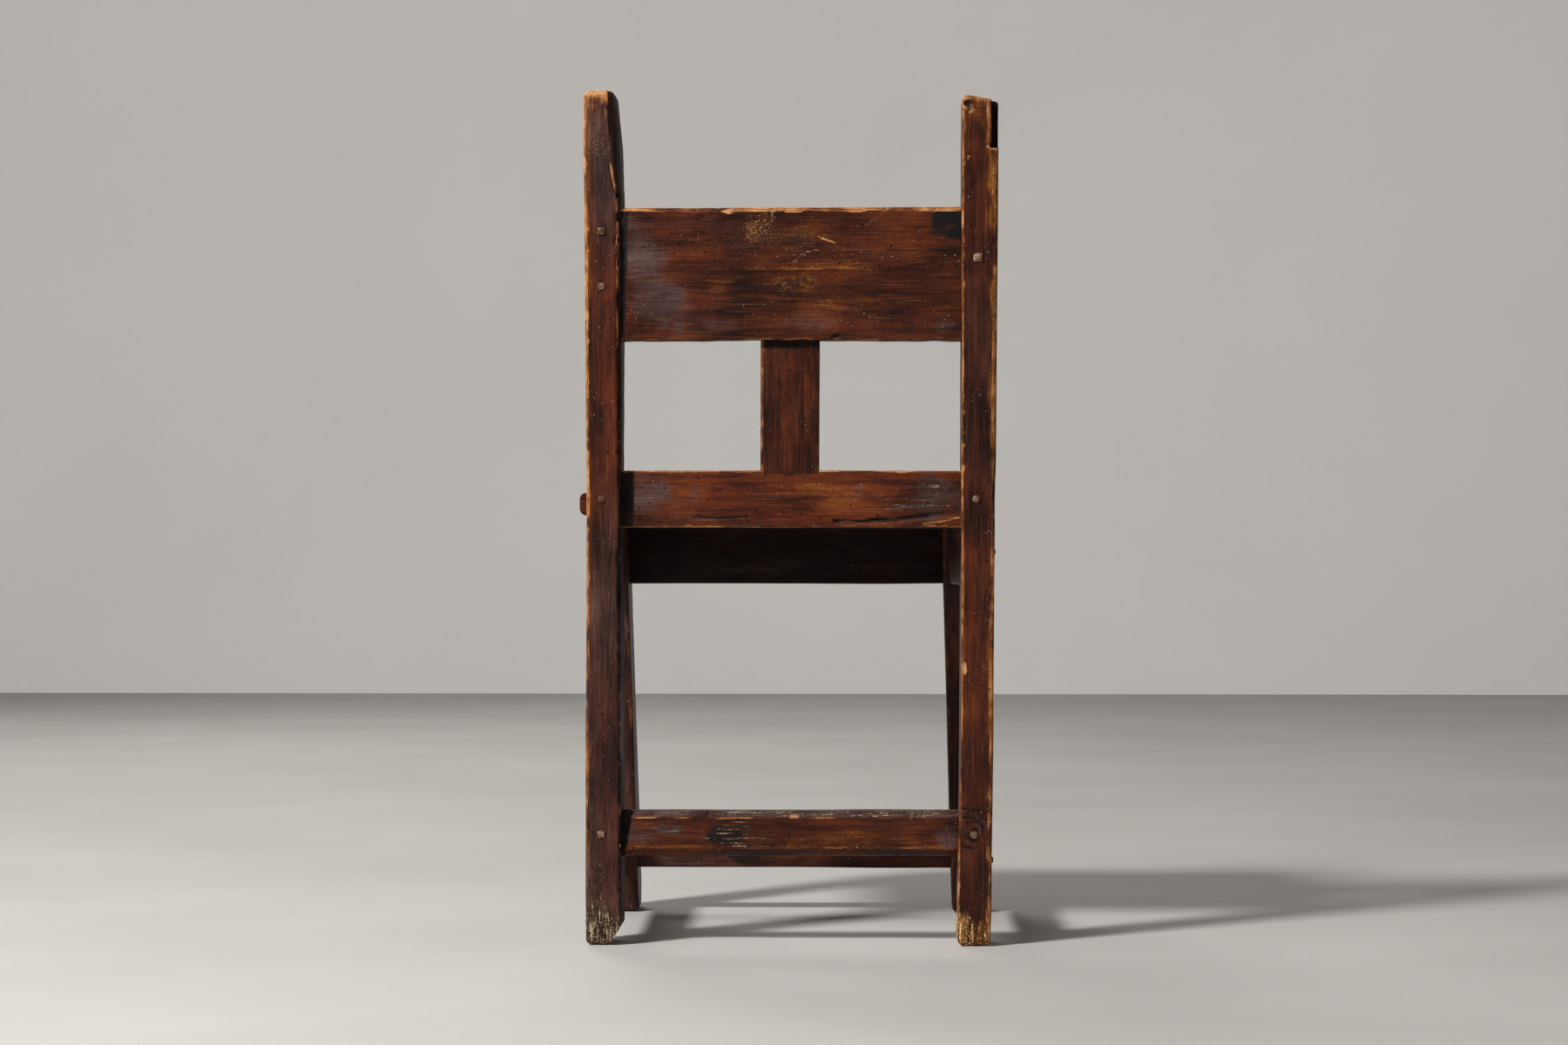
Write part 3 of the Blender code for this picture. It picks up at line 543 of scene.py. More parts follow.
    # Dirt in the narrow ring round each peg's head
    for peg in back_pegs:
        if side in peg:
            low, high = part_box(peg)
            up = (low.z + high.z) / 2
            ring = np.hypot(post.points[:, 0] - (low.x + high.x) / 2 + sway * up, post.points[:, 2] - up)
            grime = np.exp(-((ring - (high.x - low.x) * 0.45) / 0.0012) ** 2)
            post.mark("burn", 0.55 * grime * (post.out[:, 1] < -0.5))
    post.points[:, 2] = np.maximum(post.points[:, 2], 0.0)
    piece = post.finish(post_wood, "post_wood", f"rear_post_{side}", settle_back)

# The socket at the right post's top, cut last, with its inside painted black as shade
socket_width = 0.0060
socket_depth = 0.016
socket_foot = top - 0.0400
skin = 0.0006
socket = Stock("post_top_socket", (right_edge - socket_width, rear_face - 0.004, socket_foot),
               (right_edge + 0.004, rear_face + socket_depth, top + 0.006), 2, (5, 7, 18), 51)
socket.weather(0.0007, 0.0)
socket.points = settle_back(socket.points)
cut_away(piece, socket)
place = np.empty(len(piece.data.vertices) * 3, np.float32)
piece.data.vertices.foreach_get("co", place)
x, y, z = place.reshape(-1, 3).T
inside = ((x - sway * z > right_edge - socket_width - skin) & (z > socket_foot - skin)
          & (y + rake * z < rear_face + socket_depth + skin) & (y + rake * z > rear_face + 2 * skin))
for kind in mark_kinds:
    amount = np.empty(len(inside), np.float32)
    piece.data.attributes[kind].data.foreach_get("value", amount)
    # Painted shade: inside the socket every mark is cleared but the dark one, which is made full
    amount[inside] = kind == "burn"
    piece.data.attributes[kind].data.foreach_set("value", amount)

# Front legs: shorter uprights of the same wood, under the seat's front corners. They are racked to the
# left, and their feet are rubbed round by the floor.
leg_depth = 0.045
leg_box = {side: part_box(f"front_leg_{side}") for side in sides}
frame_top = leg_box["left"][1].z
rack = 0.009
leg_rear = leg_box["left"][0].y + rake * frame_top
leg_x = {side: (low.x + rack, high.x) for side, (low, high) in leg_box.items()}
leg_round = 0.005
post_front = rear_face + post_depth


def settle(points):
    """Lean squared-up points with the whole frame: sway at the back, rack at the front."""
    x, y, z = points.T
    forward = np.clip((y - post_front) / (leg_rear - post_front), 0, 1)
    shift = sway * z * (1 - forward) - rack * np.minimum(z / frame_top, 1) * forward
    return np.column_stack([x + shift, y - rake * z, z])


plain_arrises = dict.fromkeys(corners, Arris(0.0019, 2.0, 0.0009, 0.38, 0.0016))
for number, side in enumerate(sides):
    leg = Stock(f"leg_{side}", (leg_x[side][0], leg_rear, 0.0),
                (leg_x[side][1], leg_rear + leg_depth, frame_top), 2, (16, 22, 190), 61 + number)
    leg.ease(plain_arrises)
    leg.weather(0.0005, 0.00012)
    level = leg.points[:, 2].copy()
    leg.draw_in(rounding(leg_round - level, leg_round))
    fray = np.clip((0.018 - level - 0.008 * drift(leg.points, (0.006, 0.006, 0.05), 6)) / 0.02, 0, 1)
    leg.split_foot(fray, 0.0012, 0.0035, 9, 0.35)
    leg.mark("bloom", leg.patchy(0.3, 0.4, (0.02, 0.02, 0.09), 24))
    front = (leg.middle[0], leg_rear + leg_depth, 0.2)
    leg.mark("wear", 0.5 * leg.near(front, (0.02, 0.012, 0.09), 0.6, 0.9))
    leg.points[:, 2] = np.maximum(leg.points[:, 2], 0.0)
    leg.finish(post_wood, "post_wood", f"front_leg_{side}", settle)

# Crest rail: the broad top board of the back, planed by hand and tenoned into both posts. Its top arris
# is rubbed down to bare wood, and its rear face carries a scorch, gnawed places and many scratches.
inner_left = post_x["left"][1]
inner_right = post_x["right"][0]
into_post = 0.004
board_wood = waxed_wood("old_waxed_wood_board", (0.0, 0.0, 0.0),
                        ((0.25, "#0e0604"), (0.40, "#260f07"), (0.52, "#41190b"), (0.66, "#5f2a10"),
                         (0.85, "#80471b")), 0.38)


def lay_board(name, node, steps, seed):
    """Stock for a board that reaches into both posts, squared up again from its leaning solid. Its marks
    are placed from its visible left end and its foot."""
    low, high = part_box(node)
    rear = low.y + rake * high.z
    board = Stock(name, (inner_left - into_post, rear, low.z),
                  (inner_right + into_post, high.y + rake * low.z, high.z), 0, steps, seed)
    board.measure_from((inner_left, rear, low.z), 0.006, 0.2)
    return board


crest = lay_board("crest_board", "crest_rail", (300, 12, 110), 71)
crest.ease({(-1, 1): Arris(0.0029, 1.5, 0.0011, 0.82, 0.0004),
            (-1, -1): Arris(0.0011, 2.0, 0.0010, 0.48, 0.0007),
            (1, 1): Arris(0.0032, 2.0, 0.0010, 0.8, 0.0016),
            (1, -1): Arris(0.0016, 2.0, 0.0010, 0.6, 0.0012)})
crest.weather(0.0005, 0.00012)
hang = crest.near((0.0, crest.low[1], crest.low[2]), (everywhere, everywhere, 0.012), 0.0, 1.0)
crest.points[:, 2] += hang * 0.0004 * drift(crest.points, (0.013, everywhere, everywhere), 25)
crest.daub(0.45, 1.0,
           bloom=((10, 76, 46, 34, 0.9), (28, 28, 40, 34, 0.9), (20, 56, 30, 60, 0.75), (60, 14, 60, 14, 0.6),
                  (252, 12, 24, 12, 0.5), (150, 14, 50, 12, 0.4), (70, 90, 40, 12, 0.35)),
           burn=((120, 80, 68, 26, 0.56), (96, 66, 40, 12, 0.55), (150, 72, 36, 16, 0.5),
                 (96, 42, 26, 12, 0.4), (110, 9, 44, 10, 0.42), (168, 4, 6, 4, 0.9), (36, 30, 30, 26, 0.32),
                 (250, 49, 6, 6, 0.45), (205, 10, 60, 12, 0.4), (60, 90, 34, 12, 0.35),
                 (230, 42, 40, 10, 0.35), (196, 84, 40, 16, 0.25), (226, 20, 44, 9, 0.3)),
           gold=((77, 43, 22, 13, 0.55), (217, 31, 62, 9, 0.5), (226, 66, 50, 14, 0.35),
                 (132, 46, 52, 14, 0.6), (62, 80, 26, 14, 0.3), (160, 30, 55, 10, 0.45),
                 (128, 82, 54, 20, 0.6), (180, 58, 50, 8, 0.4)))
# Painted shadow: the left post's shadow on the crest's left end, painted dark and wider towards the top
painted_shadow_width = np.interp(crest.points[:, 2], (crest.low[2], crest.high[2] - 0.006, crest.high[2]),
                        (0.0042, 0.0064, 0.0092))
crest.mark("burn", 0.85 * np.clip((painted_shadow_width - crest.points[:, 0] + inner_left) / 0.0022, 0, 1))
scorch = crest.blot(260, 95, 28, 21, 0.3, 0.45)
crest.mark("burn", scorch * (1 - 0.4 * crest.blot(255, 87.5, 8, 7, 0.9, 1.0)) * 0.95)
thread = crest.patchy(0.5, 0.9, (0.012, everywhere, 0.002), 26)
thread_start = ((43, 59.6), (67, 58.5), (91, 56.4))
crest.mark("gold", 0.9 * crest.scratch(1.6, *thread_start, (116, 56.4), (160, 56.6), (202, 55.5)) * thread)
crest.mark("wear", 0.5 * crest.scratch(0.9, *thread_start, (118, 56.4), (150, 56.8)) * thread)

# Places where beetles have gnawed the surface away, and the ochre patch that is rough with bare specks
gnawed = crest.blot(135, 45.5, 36, 11, 0.6, 1.0)
worried = crest.patchy(0.5, 1.6, (0.0030, everywhere, 0.0024), 28)
crest.push(0.0005 * gnawed * (1 - worried), (0.0, 1.0, 0.0))
crest.mark("burn", 0.6 * gnawed * (1 - 0.7 * worried))
crest.mark("gold", 0.9 * gnawed)
crest.mark("wear", 0.36 * gnawed * worried)
speckled = crest.blot(109, 88, 21, 15, 0.6, 1.0)
crest.mark("specks", speckled)
crest.mark("specks", 0.45 * gnawed * worried)
crest.mark("gold", 0.85 * speckled)
for width, amount, deep, *places in (
        (0.9, 1.0, 0.0008, (154, 81.1), (159.7, 78.9), (167, 76.3)),
        (0.7, 0.75, 0.0005, (134, 61), (140, 66.2), (144.7, 69.2), (156.3, 71.3)),
        (0.6, 0.55, 0.0004, (190, 89.8), (204, 98.7)),
        (0.6, 0.5, 0.0004, (167, 66), (178.6, 62), (190, 59.8)),
        (0.6, 0.45, 0.0004, (178, 84), (180, 78), (179, 74)),
        (0.6, 0.4, 0.0003, (146, 46), (153, 44), (160, 47)), (0.6, 0.4, 0.0003, (62, 95), (71, 94.4))):
    crest.carve(crest.scratch(width, *places), deep, "wear", amount)
crest.carve(crest.blot(82, 101.5, 8, 2.6), 0.0014, "wear", way=(0.0, 0.8, -0.6))
crest.push(0.0012 * crest.blot(168, 2.0, 6, 2.6, 0.4), (0.0, 0.9, 0.4))
crest.finish(board_wood, "board_wood", "crest_rail", settle_back)

# Lower back rail: a narrower board at seat level, tenoned into the posts. A long split has opened along
# its foot, and its right end is grey with old wax bloom, with sheen painted over it as grey strips and silver
# lines.
rail_wood = waxed_wood("old_waxed_wood_rail", (0.0, 0.0, 0.0),
                       ((0.22, "#140805"), (0.38, "#301208"), (0.50, "#4d1e0c"), (0.64, "#6b3012"),
                        (0.85, "#8a4c1d")), 0.38)
rail = lay_board("lower_rail_board", "lower_back_rail", (300, 12, 60), 81)
rail.ease({(-1, 1): Arris(0.0011, 2.0, 0.0007, 0.72, 0.0004),
           (-1, -1): Arris(0.0011, 2.0, 0.0009, 0.55, 0.0006),
           (1, 1): Arris(0.0018, 2.0, 0.0008, 0.6, 0.0016),
           (1, -1): Arris(0.0016, 2.0, 0.0008, 0.5, 0.0016)})
rail.weather(0.0004, 0.0001)
# Grey bloom at both ends; the two narrow strips at the right end are painted sheen
rail.daub(0.4, 0.8, bloom=((20, 24, 46, 26, 0.78), (246, 24, 36, 26, 1.0), (243, 32, 28, 3.2, 1.0),
                           (230, 16.5, 32, 4.5, 1.0), (186, 30, 7, 9, 0.5), (60, 8, 50, 4, 0.5)))
rail.daub(0.5, 0.9, gold=((150, 25, 55, 15, 0.5), (176, 1, 9, 3, 0.7), (120, 32, 30, 6, 0.3)),
          burn=((132, 42.5, 10, 2.4, 0.7), (262, 40, 20, 5, 0.45), (40, 40, 30, 5, 0.3)))
rail.daub(0.3, 1.0, ruddy=((40, 22, 60, 24, 0.2),))
# Painted shadow: the left post's shadow on the rail's left end, painted dark
rail.mark("burn", 0.85 * np.clip((0.0112 - rail.points[:, 0] + inner_left) / 0.0026, 0, 1))
torn = rail.patchy(0.9, 0.6, (0.012, everywhere, 0.0018), 30)
split = np.maximum(rail.scratch(1.6, (168, 5.0), (192, 5.2), (224, 7.2), (266, 11.2)),
                   rail.scratch(2.4, (196, 5.6), (224, 7.4), (266, 11.6)))
rail.carve(split * torn, 0.0022, "burn")
# Painted sheen: thin silver lines over the grey right end
for amount, width, *places in (
        (0.5, 0.8, (222, 32.4), (266, 31.2)), (0.4, 0.7, (236, 33.8), (262, 33.4)),
        (0.5, 0.8, (204, 17.2), (258, 18.6)), (0.45, 0.8, (208, 14.8), (250, 15.6)),
        (0.5, 0.7, (186, 34), (190, 26)), (0.45, 0.7, (182, 31), (186, 24))):
    rail.mark("fray", amount * rail.scratch(width, *places) * torn)
rail.daub(0.6, 1.0, fray=((244, 32.2, 30, 3.4, 0.42), (232, 16.4, 34, 4.2, 0.42)))
rail.daub(0.5, 1.0, burn=((234, 19, 34, 5, 0.5), (246, 35, 26, 4, 0.5)))
rail.mark("wear", 0.8 * rail.scratch(0.9, (238, 3.2), (255, 5.2), (266, 8.0)))
rail.mark("wear", 0.5 * rail.scratch(0.7, (196, 2.6), (230, 3.6)) * torn)
rail.carve(rail.scratch(0.8, (57, 8.5), (77, 7.2), (100, 8.5)), 0.0010, "burn")
rail.mark("bloom", 0.9 * rail.scratch(0.7, (66, 6.6), (90, 6.9)))
rail.finish(rail_wood, "board_wood", "lower_back_rail", settle_back)

# Splat: a short upright board of the same waxed wood, tenoned into the crest above and the low rail
# below. The crest's shadow is painted dark across its top, and the left arris is rubbed.
splat_low, splat_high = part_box("back_splat")
splat_tenon = 0.015
splat_foot = rail.high[2] - 0.002
splat_head = crest.low[2] + 0.002
splat_x = (splat_low.x - sway * splat_low.z, splat_high.x - sway * splat_high.z)
splat_y = (splat_low.y + rake * (splat_high.z - splat_tenon),
           splat_high.y + rake * (splat_low.z + splat_tenon))
splat = Stock("splat_board", (splat_x[0], splat_y[0], splat_foot), (splat_x[1], splat_y[1], splat_head),
              2, (34, 10, 76), 91)
splat.ease({(-1, -1): Arris(0.0020, 2.0, 0.0007, 0.62, 0.0008),
            (1, -1): Arris(0.0014, 2.0, 0.0009, 0.4, 0.0008),
            (-1, 1): Arris(0.0014, 2.0, 0.0007, 0.4, 0.0014),
            (1, 1): Arris(0.0014, 2.0, 0.0007, 0.4, 0.0014)})
splat.weather(0.0003, 0.0001)
splat.mark("bloom", splat.patchy(0.0, 0.3, (0.02, 0.02, 0.05), 31))
splat.mark("gold", splat.patchy(0.08, 0.35, (0.012, 0.02, 0.06), 32))
splat.mark("ruddy", 0.3)
# Painted shadow: the crest's shadow, painted dark across the splat's top
splat.mark("burn", 0.8 * np.clip((splat.points[:, 2] - splat_head + 0.011) / 0.004, 0, 1))
splat.finish(post_wood, "board_wood", "back_splat", settle_back)

# Rear stretcher: a stout low rail between the posts. Feet have worn its top arris to a slope, its lower
# arris is chamfered, and a knot has left a dark patch, with silver streaks painted over it as highlights.
stretcher = lay_board("rear_stretcher_bar", "rear_stretcher", (280, 16, 56), 101)
stretcher.ease({(-1, 1): Arris(0.0052, 1.25, 0.0014, 0.2, 0.0006),
                (-1, -1): Arris(0.0064, 1.15, 0.0006, 0.1, 0.0010),
                (1, 1): Arris(0.0030, 2.0, 0.0012, 0.6, 0.0020),
                (1, -1): Arris(0.0020, 2.0, 0.0008, 0.4, 0.0016)})
stretcher.weather(0.0006, 0.00014)
stretcher.daub(0.4, 0.8, bloom=((10, 16, 20, 14, 0.7), (36, 21, 18, 7, 0.75), (258, 16, 14, 14, 0.7)))
stretcher.daub(0.5, 0.9, gold=((180, 15, 60, 8, 0.38), (140, 9, 60, 3, 0.4), (225, 12, 30, 7, 0.38)))
foot, head = stretcher.low[2], stretcher.high[2]
# Painted shadow: the left post's shadow on the stretcher's left end, painted dark and wider towards the top
painted_shadow_width = np.interp(stretcher.points[:, 2], (foot, head), (0.0042, 0.0100))
stretcher.mark("burn", 0.85 * np.clip((painted_shadow_width - stretcher.points[:, 0] + inner_left) / 0.0022, 0, 1))
worn_slope = np.clip((stretcher.points[:, 2] - head + 0.0056) / 0.0012, 0, 1)
mottle = drift(stretcher.points, (0.022, 0.004, 0.004), 46)
stretcher.mark("bloom", worn_slope * np.clip(0.9 + 0.5 * mottle, 0, 1))
stretcher.mark("burn", worn_slope * np.clip(-0.1 - 0.8 * mottle, 0, 0.7))
stretcher.mark("fray", worn_slope * np.clip(0.34 + 0.3 * mottle, 0, 0.52))
lip = stretcher.scratch(0.8, (2, 30.6), (70, 30.2), (150, 30.5), (262, 30.3))
stretcher.mark("wear", 0.85 * lip * stretcher.patchy(0.55, 0.9, (0.016, everywhere, everywhere), 47))
stretcher.daub(0.55, 0.8, burn=((84, 17, 29, 12, 0.75),))
# Painted highlights: silver streaks over the knot, raised a little
for amount, *places in (
        (0.65, (74, 29.2), (80, 28.6)), (0.6, (88, 27.2), (99, 26.6)), (0.75, (80, 24.4), (101, 23.6)),
        (0.7, (76, 21.4), (103, 20.6)), (0.6, (72, 18.2), (100, 17.4)), (0.75, (64, 14.4), (92, 13.6)),
        (0.7, (92, 14.6), (116, 13.8)), (0.6, (78, 10.6), (104, 10.0)), (0.6, (88, 8.2), (100, 7.8)),
        (0.5, (22, 22.6), (44, 20.8)), (0.5, (28, 19.4), (46, 19.8)), (0.4, (20, 25.4), (36, 24.6))):
    stretcher.carve(stretcher.scratch(0.7, *places), -0.0003, "fray", amount)
stretcher.mark("gold", 0.6 * stretcher.scratch(1.5, (4, 7.4), (60, 7.2), (130, 7.4), (200, 7.2), (262, 7.4)))
chamfer_line = stretcher.scratch(0.8, (4, 7.0), (60, 6.8), (130, 7.0), (200, 6.8), (262, 7.0))
stretcher.mark("wear", 0.55 * chamfer_line * stretcher.patchy(0.55, 1.0, (0.02, everywhere, everywhere), 34))
stretcher.carve(stretcher.blot(137, 32, 5.5, 2.2), 0.0010, "wear", 1.2, (0.0, 0.8, -0.6))
lean = np.clip((stretcher.points[:, 2] - foot) / (head - foot), 0, 1)
stretcher.points[:, 1] += 0.0042 * lean * np.clip((stretcher.high[1] - stretcher.points[:, 1]) / 0.012, 0, 1)
stretcher.finish(board_wood, "board_wood", "rear_stretcher", settle_back)

# Front apron and front stretcher: sawn rails between the front legs, tenoned and pegged at both ends. They
# are of the same wood but seldom polished, and the apron's rear face is painted black as shade.
for node, name, steps, seed, shaded in (("front_apron", "apron_board", (150, 10, 34), 111, 0.65),
                                        ("front_stretcher", "front_stretcher_bar", (150, 10, 16), 121, 0.0)):
    low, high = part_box(node)
    bar = Stock(name, (leg_x["left"][1] - into_post, low.y + rake * high.z, low.z),
                (leg_x["right"][0] + into_post, high.y + rake * low.z, high.z), 0, steps, seed)
    bar.ease({sides_of: arris._replace(rubbed=0.16) for sides_of, arris in plain_arrises.items()})
    bar.weather(0.0005, 0.00012)
    bar.mark("bloom", bar.patchy(0.4, 0.5, (0.08, 0.02, 0.02), seed))
    # A little dirt all over; on the apron the rear face is painted dark as shade
    bar.mark("burn", 0.1 + shaded * (bar.out[:, 1] < -0.5))
    stain = (inner_left + 0.09, bar.low[1], bar.high[2] - 0.015)
    bar.mark("burn", 0.7 * bar.near(stain, (0.018, 0.006, 0.014)))
    bar.finish(board_wood, "shaded_wood", node, settle)

# Side rails and side stretchers: sawn bars of the same wood from the posts to the front legs, tenoned and
# pegged at both ends. Feet have rubbed the stretchers' upper edges.
side_wood = waxed_wood("old_waxed_wood_side", (0.0, 0.0, math.radians(-90)),
                       ((0.25, "#0c0503"), (0.40, "#200d07"), (0.52, "#36160b"), (0.66, "#502311"),
                        (0.85, "#703c1a")), 0.44)
side_setback = 0.003
for number, side in enumerate(sides):
    way = (-1, 1)[number]
    post_outer = post_x[side][number]
    leg_outer = leg_x[side][number]
    for label, thickness, steps in (("side_rail", 0.020, (12, 110, 32)),
                                    ("side_stretcher", 0.018, (10, 110, 20))):
        low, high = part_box(f"{label}_{side}")
        outer = post_outer - way * side_setback
        edges = sorted((outer, outer - way * thickness))
        bar = Stock(f"{label}_bar_{side}", (edges[0], post_front - into_post, low.z),
                    (edges[1], leg_rear + into_post, high.z), 1, steps, 131 + 10 * number + len(label))
        bar.ease(plain_arrises)
        bar.weather(0.0005, 0.00012)
        forward = np.clip((bar.points[:, 1] - post_front) / (leg_rear - post_front), 0, 1)
        bar.points[:, 0] += (leg_outer - post_outer) * forward
        bar.mark("bloom", bar.patchy(0.25, 0.5, (0.02, 0.08, 0.02), 35 + number))
        bar.mark("gold", bar.patchy(0.2, 0.5, (0.02, 0.06, 0.012), 36 + number))
        if label == "side_stretcher":
            bar.mark("wear", 0.6 * np.clip((bar.points[:, 2] - high.z + 0.004) / 0.004, 0, 1)
                     * bar.patchy(0.6, 1.0, (0.02, 0.03, 0.02), 37))
        bar.finish(side_wood, "shaded_wood", f"{label}_{side}", settle)

# Seat: one broad board, its rear corners sawn out round the posts, nailed down on the rails. Sitting has
# dished it a little and polished it, and its edges are rubbed round.
seat_low, seat_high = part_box("seat_board")
seat_mid = (seat_low.z + seat_high.z) / 2
seat_side = (seat_low.x - sway * seat_mid, seat_high.x - sway * seat_mid)
seat_y = (seat_low.y + rake * seat_high.z, seat_high.y + rake * seat_low.z)
seat_wood = waxed_wood("old_waxed_wood_seat", (0.0, 0.0, 0.0),
                       ((0.25, "#110704"), (0.40, "#2c1208"), (0.52, "#491e0d"), (0.66, "#6a3114"),
                        (0.85, "#8c5122")), 0.36)
seat = Stock("seat_plank", (seat_side[0], seat_y[0], seat_low.z), (seat_side[1], seat_y[1], seat_high.z),
             0, (150, 120, 12), 161)
corner = 0.016
reach_x = np.maximum(np.abs(seat.points[:, 0] - seat.middle[0]) - seat.half[0] + corner, 0)
reach_y = np.maximum(seat.points[:, 1] - seat_y[1] + corner, 0)
norm = np.hypot(reach_x, reach_y)
shrink = np.where(norm > corner, corner / np.maximum(norm, 1e-9), 1)
seat.points[:, 0] -= np.sign(seat.points[:, 0] - seat.middle[0]) * reach_x * (1 - shrink)
seat.points[:, 1] -= reach_y * (1 - shrink)
seat_edge = 0.0055
seat.draw_in(rounding(np.abs(seat.points[:, 2] - seat_mid) - (seat.half[2] - seat_edge), seat_edge))
on_top = seat.unit[:, 2] > 0.99
dish = seat.near((seat.middle[0], seat.middle[1] + 0.02, seat_high.z), (0.13, 0.10, everywhere), 0.15, 1.0)
seat.push(-0.0014 * dish * on_top, (0.0, 0.0, 1.0))
flat = (np.abs(seat.unit[:, 2]) > 0.99) * 0.00025
seat.push(flat * drift(seat.points, (0.09, 0.012, 0.02), 38) - flat, (0.0, 0.0, 1.0))
rim = np.clip(1 - np.minimum(seat.half[0] - np.abs(seat.points[:, 0] - seat.middle[0]),
                             seat_y[1] - seat.points[:, 1]) / 0.007, 0, 1)
seat.mark("wear", 0.75 * rim * seat.patchy(0.65, 0.6, (0.03, 0.03, 0.01), 39))
seat.mark("gold", 0.55 * dish * (0.7 + 0.5 * drift(seat.points, (0.06, 0.015, 0.02), 40)))
seat.mark("bloom", seat.patchy(0.2, 0.5, (0.1, 0.03, 0.02), 41))

# The iron of each nail has stained the wood round it black
nails = [name for name in sorted(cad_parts) if "_nail_" in name]
for node in nails:
    low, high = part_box(node)
    nail_place = (low + high) / 2 + Vector((-sway, rake, 0.0)) * seat_high.z
    away = np.hypot(seat.points[:, 0] - nail_place.x, seat.points[:, 1] - nail_place.y)
    seat.mark("burn", 0.9 * np.exp(-(away / 0.0062) ** 2) * on_top)
plank = seat.finish(seat_wood, "seat_wood", "seat_board", settle_back)
saw_gap = 0.0004
overrun = 0.02
for side, cut_x in (("left", (seat_side[0] - overrun, inner_left + saw_gap)),
                    ("right", (inner_right - saw_gap, seat_side[1] + overrun))):
    corner_block = Stock(f"seat_corner_{side}", (cut_x[0], seat_y[0] - overrun, seat_low.z - overrun),
                         (cut_x[1], post_front + saw_gap, seat_high.z + overrun), 2, (3, 3, 3), 171)
    corner_block.points = settle_back(corner_block.points)
    cut_away(plank, corner_block)

# Pegs: whittled square-round pins that hold each tenon, driven in dry and left just proud. Their end
# grain has gone grey and cracked.
peg_wood, tree, shader, place = start_material("peg_end_grain")
crumble = add_node(tree, "TexNoise", {"Vector": place, "Scale": 1 / 0.0016, "Detail": 3.0})
cloud = add_node(tree, "TexNoise", {"Vector": place, "Scale": 1 / 0.03, "Detail": 2.0})
grey = add_node(tree, "ValToRGB", {"Fac": crumble},
                stops=((0.30, "#25160f"), (0.46, "#80634d"), (0.66, "#c4a88c")))
brown = add_node(tree, "ValToRGB", {"Fac": crumble},
                 stops=((0.30, "#1f0f09"), (0.52, "#5b3522"), (0.72, "#93694a")))
share = add_node(tree, "MapRange", {"Value": cloud, "From Min": 0.40, "From Max": 0.62})
colour = add_node(tree, "Mix", {0: share, 6: brown, 7: grey}, 2, data_type="RGBA")
dirt = add_node(tree, "Attribute", {}, "Fac", attribute_name="burn")
colour = add_node(tree, "Mix", {0: dirt, 6: colour, 7: linear("#120a07")}, 2, data_type="RGBA")
tree.links.new(colour, shader.inputs["Base Color"])
bump = add_node(tree, "Bump", {"Height": crumble, "Strength": 0.7, "Distance": 0.0005})
tree.links.new(bump, shader.inputs["Normal"])
shader.inputs["Roughness"].default_value = 0.6
shader.inputs["Specular IOR Level"].default_value = 0.25

pegs = [name for name in sorted(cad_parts) if "_peg" in name]
for number, node in enumerate(pegs):
    low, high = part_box(node)
    size = high - low
    along = max(range(3), key=lambda axis: size[axis])
    steps = [10, 10, 10]
    steps[along] = 16
    pin = Stock(node + "_pin", low, high, along, steps, 200 + number)
    squared = number % 3 == 0 or node == "crest_peg_right"
    roundness = 0.24 if squared else 0.42
    radius = roundness * min(size[axis] for axis in pin.across)
    pin.ease(dict.fromkeys(corners, Arris(radius, 2.0, 0.0, 0.0, 0.001)))
    outward = -1 if (along == 1 and low.y < 0) or (along == 0 and low.x < 0) else 1
    toward = outward * pin.unit[:, along]
    shaved = (0.08 if node == "crest_peg_right" else 0.22) + 0.16 * np.clip((toward - 0.75) / 0.25, 0, 1) ** 3
    for axis in pin.across:
        pin.points[:, axis] -= (pin.points[:, axis] - pin.middle[axis]) * shaved
    spans = [(pin.points[:, axis] - pin.middle[axis]) / pin.half[axis] for axis in pin.across]
    ring = np.sqrt(sum(span ** 2 for span in spans))
    pin.points[:, along] -= outward * 0.0009 * (toward > 0.99) * np.clip(ring, 0, 1) ** 2
    knocks = [drift(pin.points, 0.003, 300 + number + axis) for axis in range(3)]
    pin.points += 0.00025 * np.column_stack(knocks)
    pin.mark("burn", np.where(toward > 0.99, np.clip((ring - 0.75) / 0.3, 0, 0.8), 0.5))
    pin.finish(peg_wood, "peg_wood", node)

# Nails: forged iron with flattened heads, which hold the seat down on the rails and the apron. They are
# hammered just below its surface and have rusted dark.
nail_iron, tree, shader, place = start_material("rusted_forged_iron")
scale = add_node(tree, "TexNoise", {"Vector": place, "Scale": 1 / 0.0018, "Detail": 4.0})
rust = add_node(tree, "ValToRGB", {"Fac": scale},
                stops=((0.35, "#191513"), (0.55, "#38241a"), (0.75, "#5c3620")))
worn = add_node(tree, "MapRange", {"Value": scale, "From Min": 0.35, "From Max": 0.7,
                                   "To Min": 0.45, "To Max": 0.8})
bare_iron = add_node(tree, "MapRange", {"Value": scale, "From Min": 0.4, "From Max": 0.6,
                                        "To Min": 0.8, "To Max": 0.1})
bump = add_node(tree, "Bump", {"Height": scale, "Strength": 0.6, "Distance": 0.0003})
for socket, source in (("Base Color", rust), ("Roughness", worn), ("Metallic", bare_iron), ("Normal", bump)):
    tree.links.new(source, shader.inputs[socket])
hammered = dict.fromkeys(corners, Arris(0.0024, 1.6, 0.0, 0.0, 0.001))
sink_gap = 0.0005
head_height = 0.0016
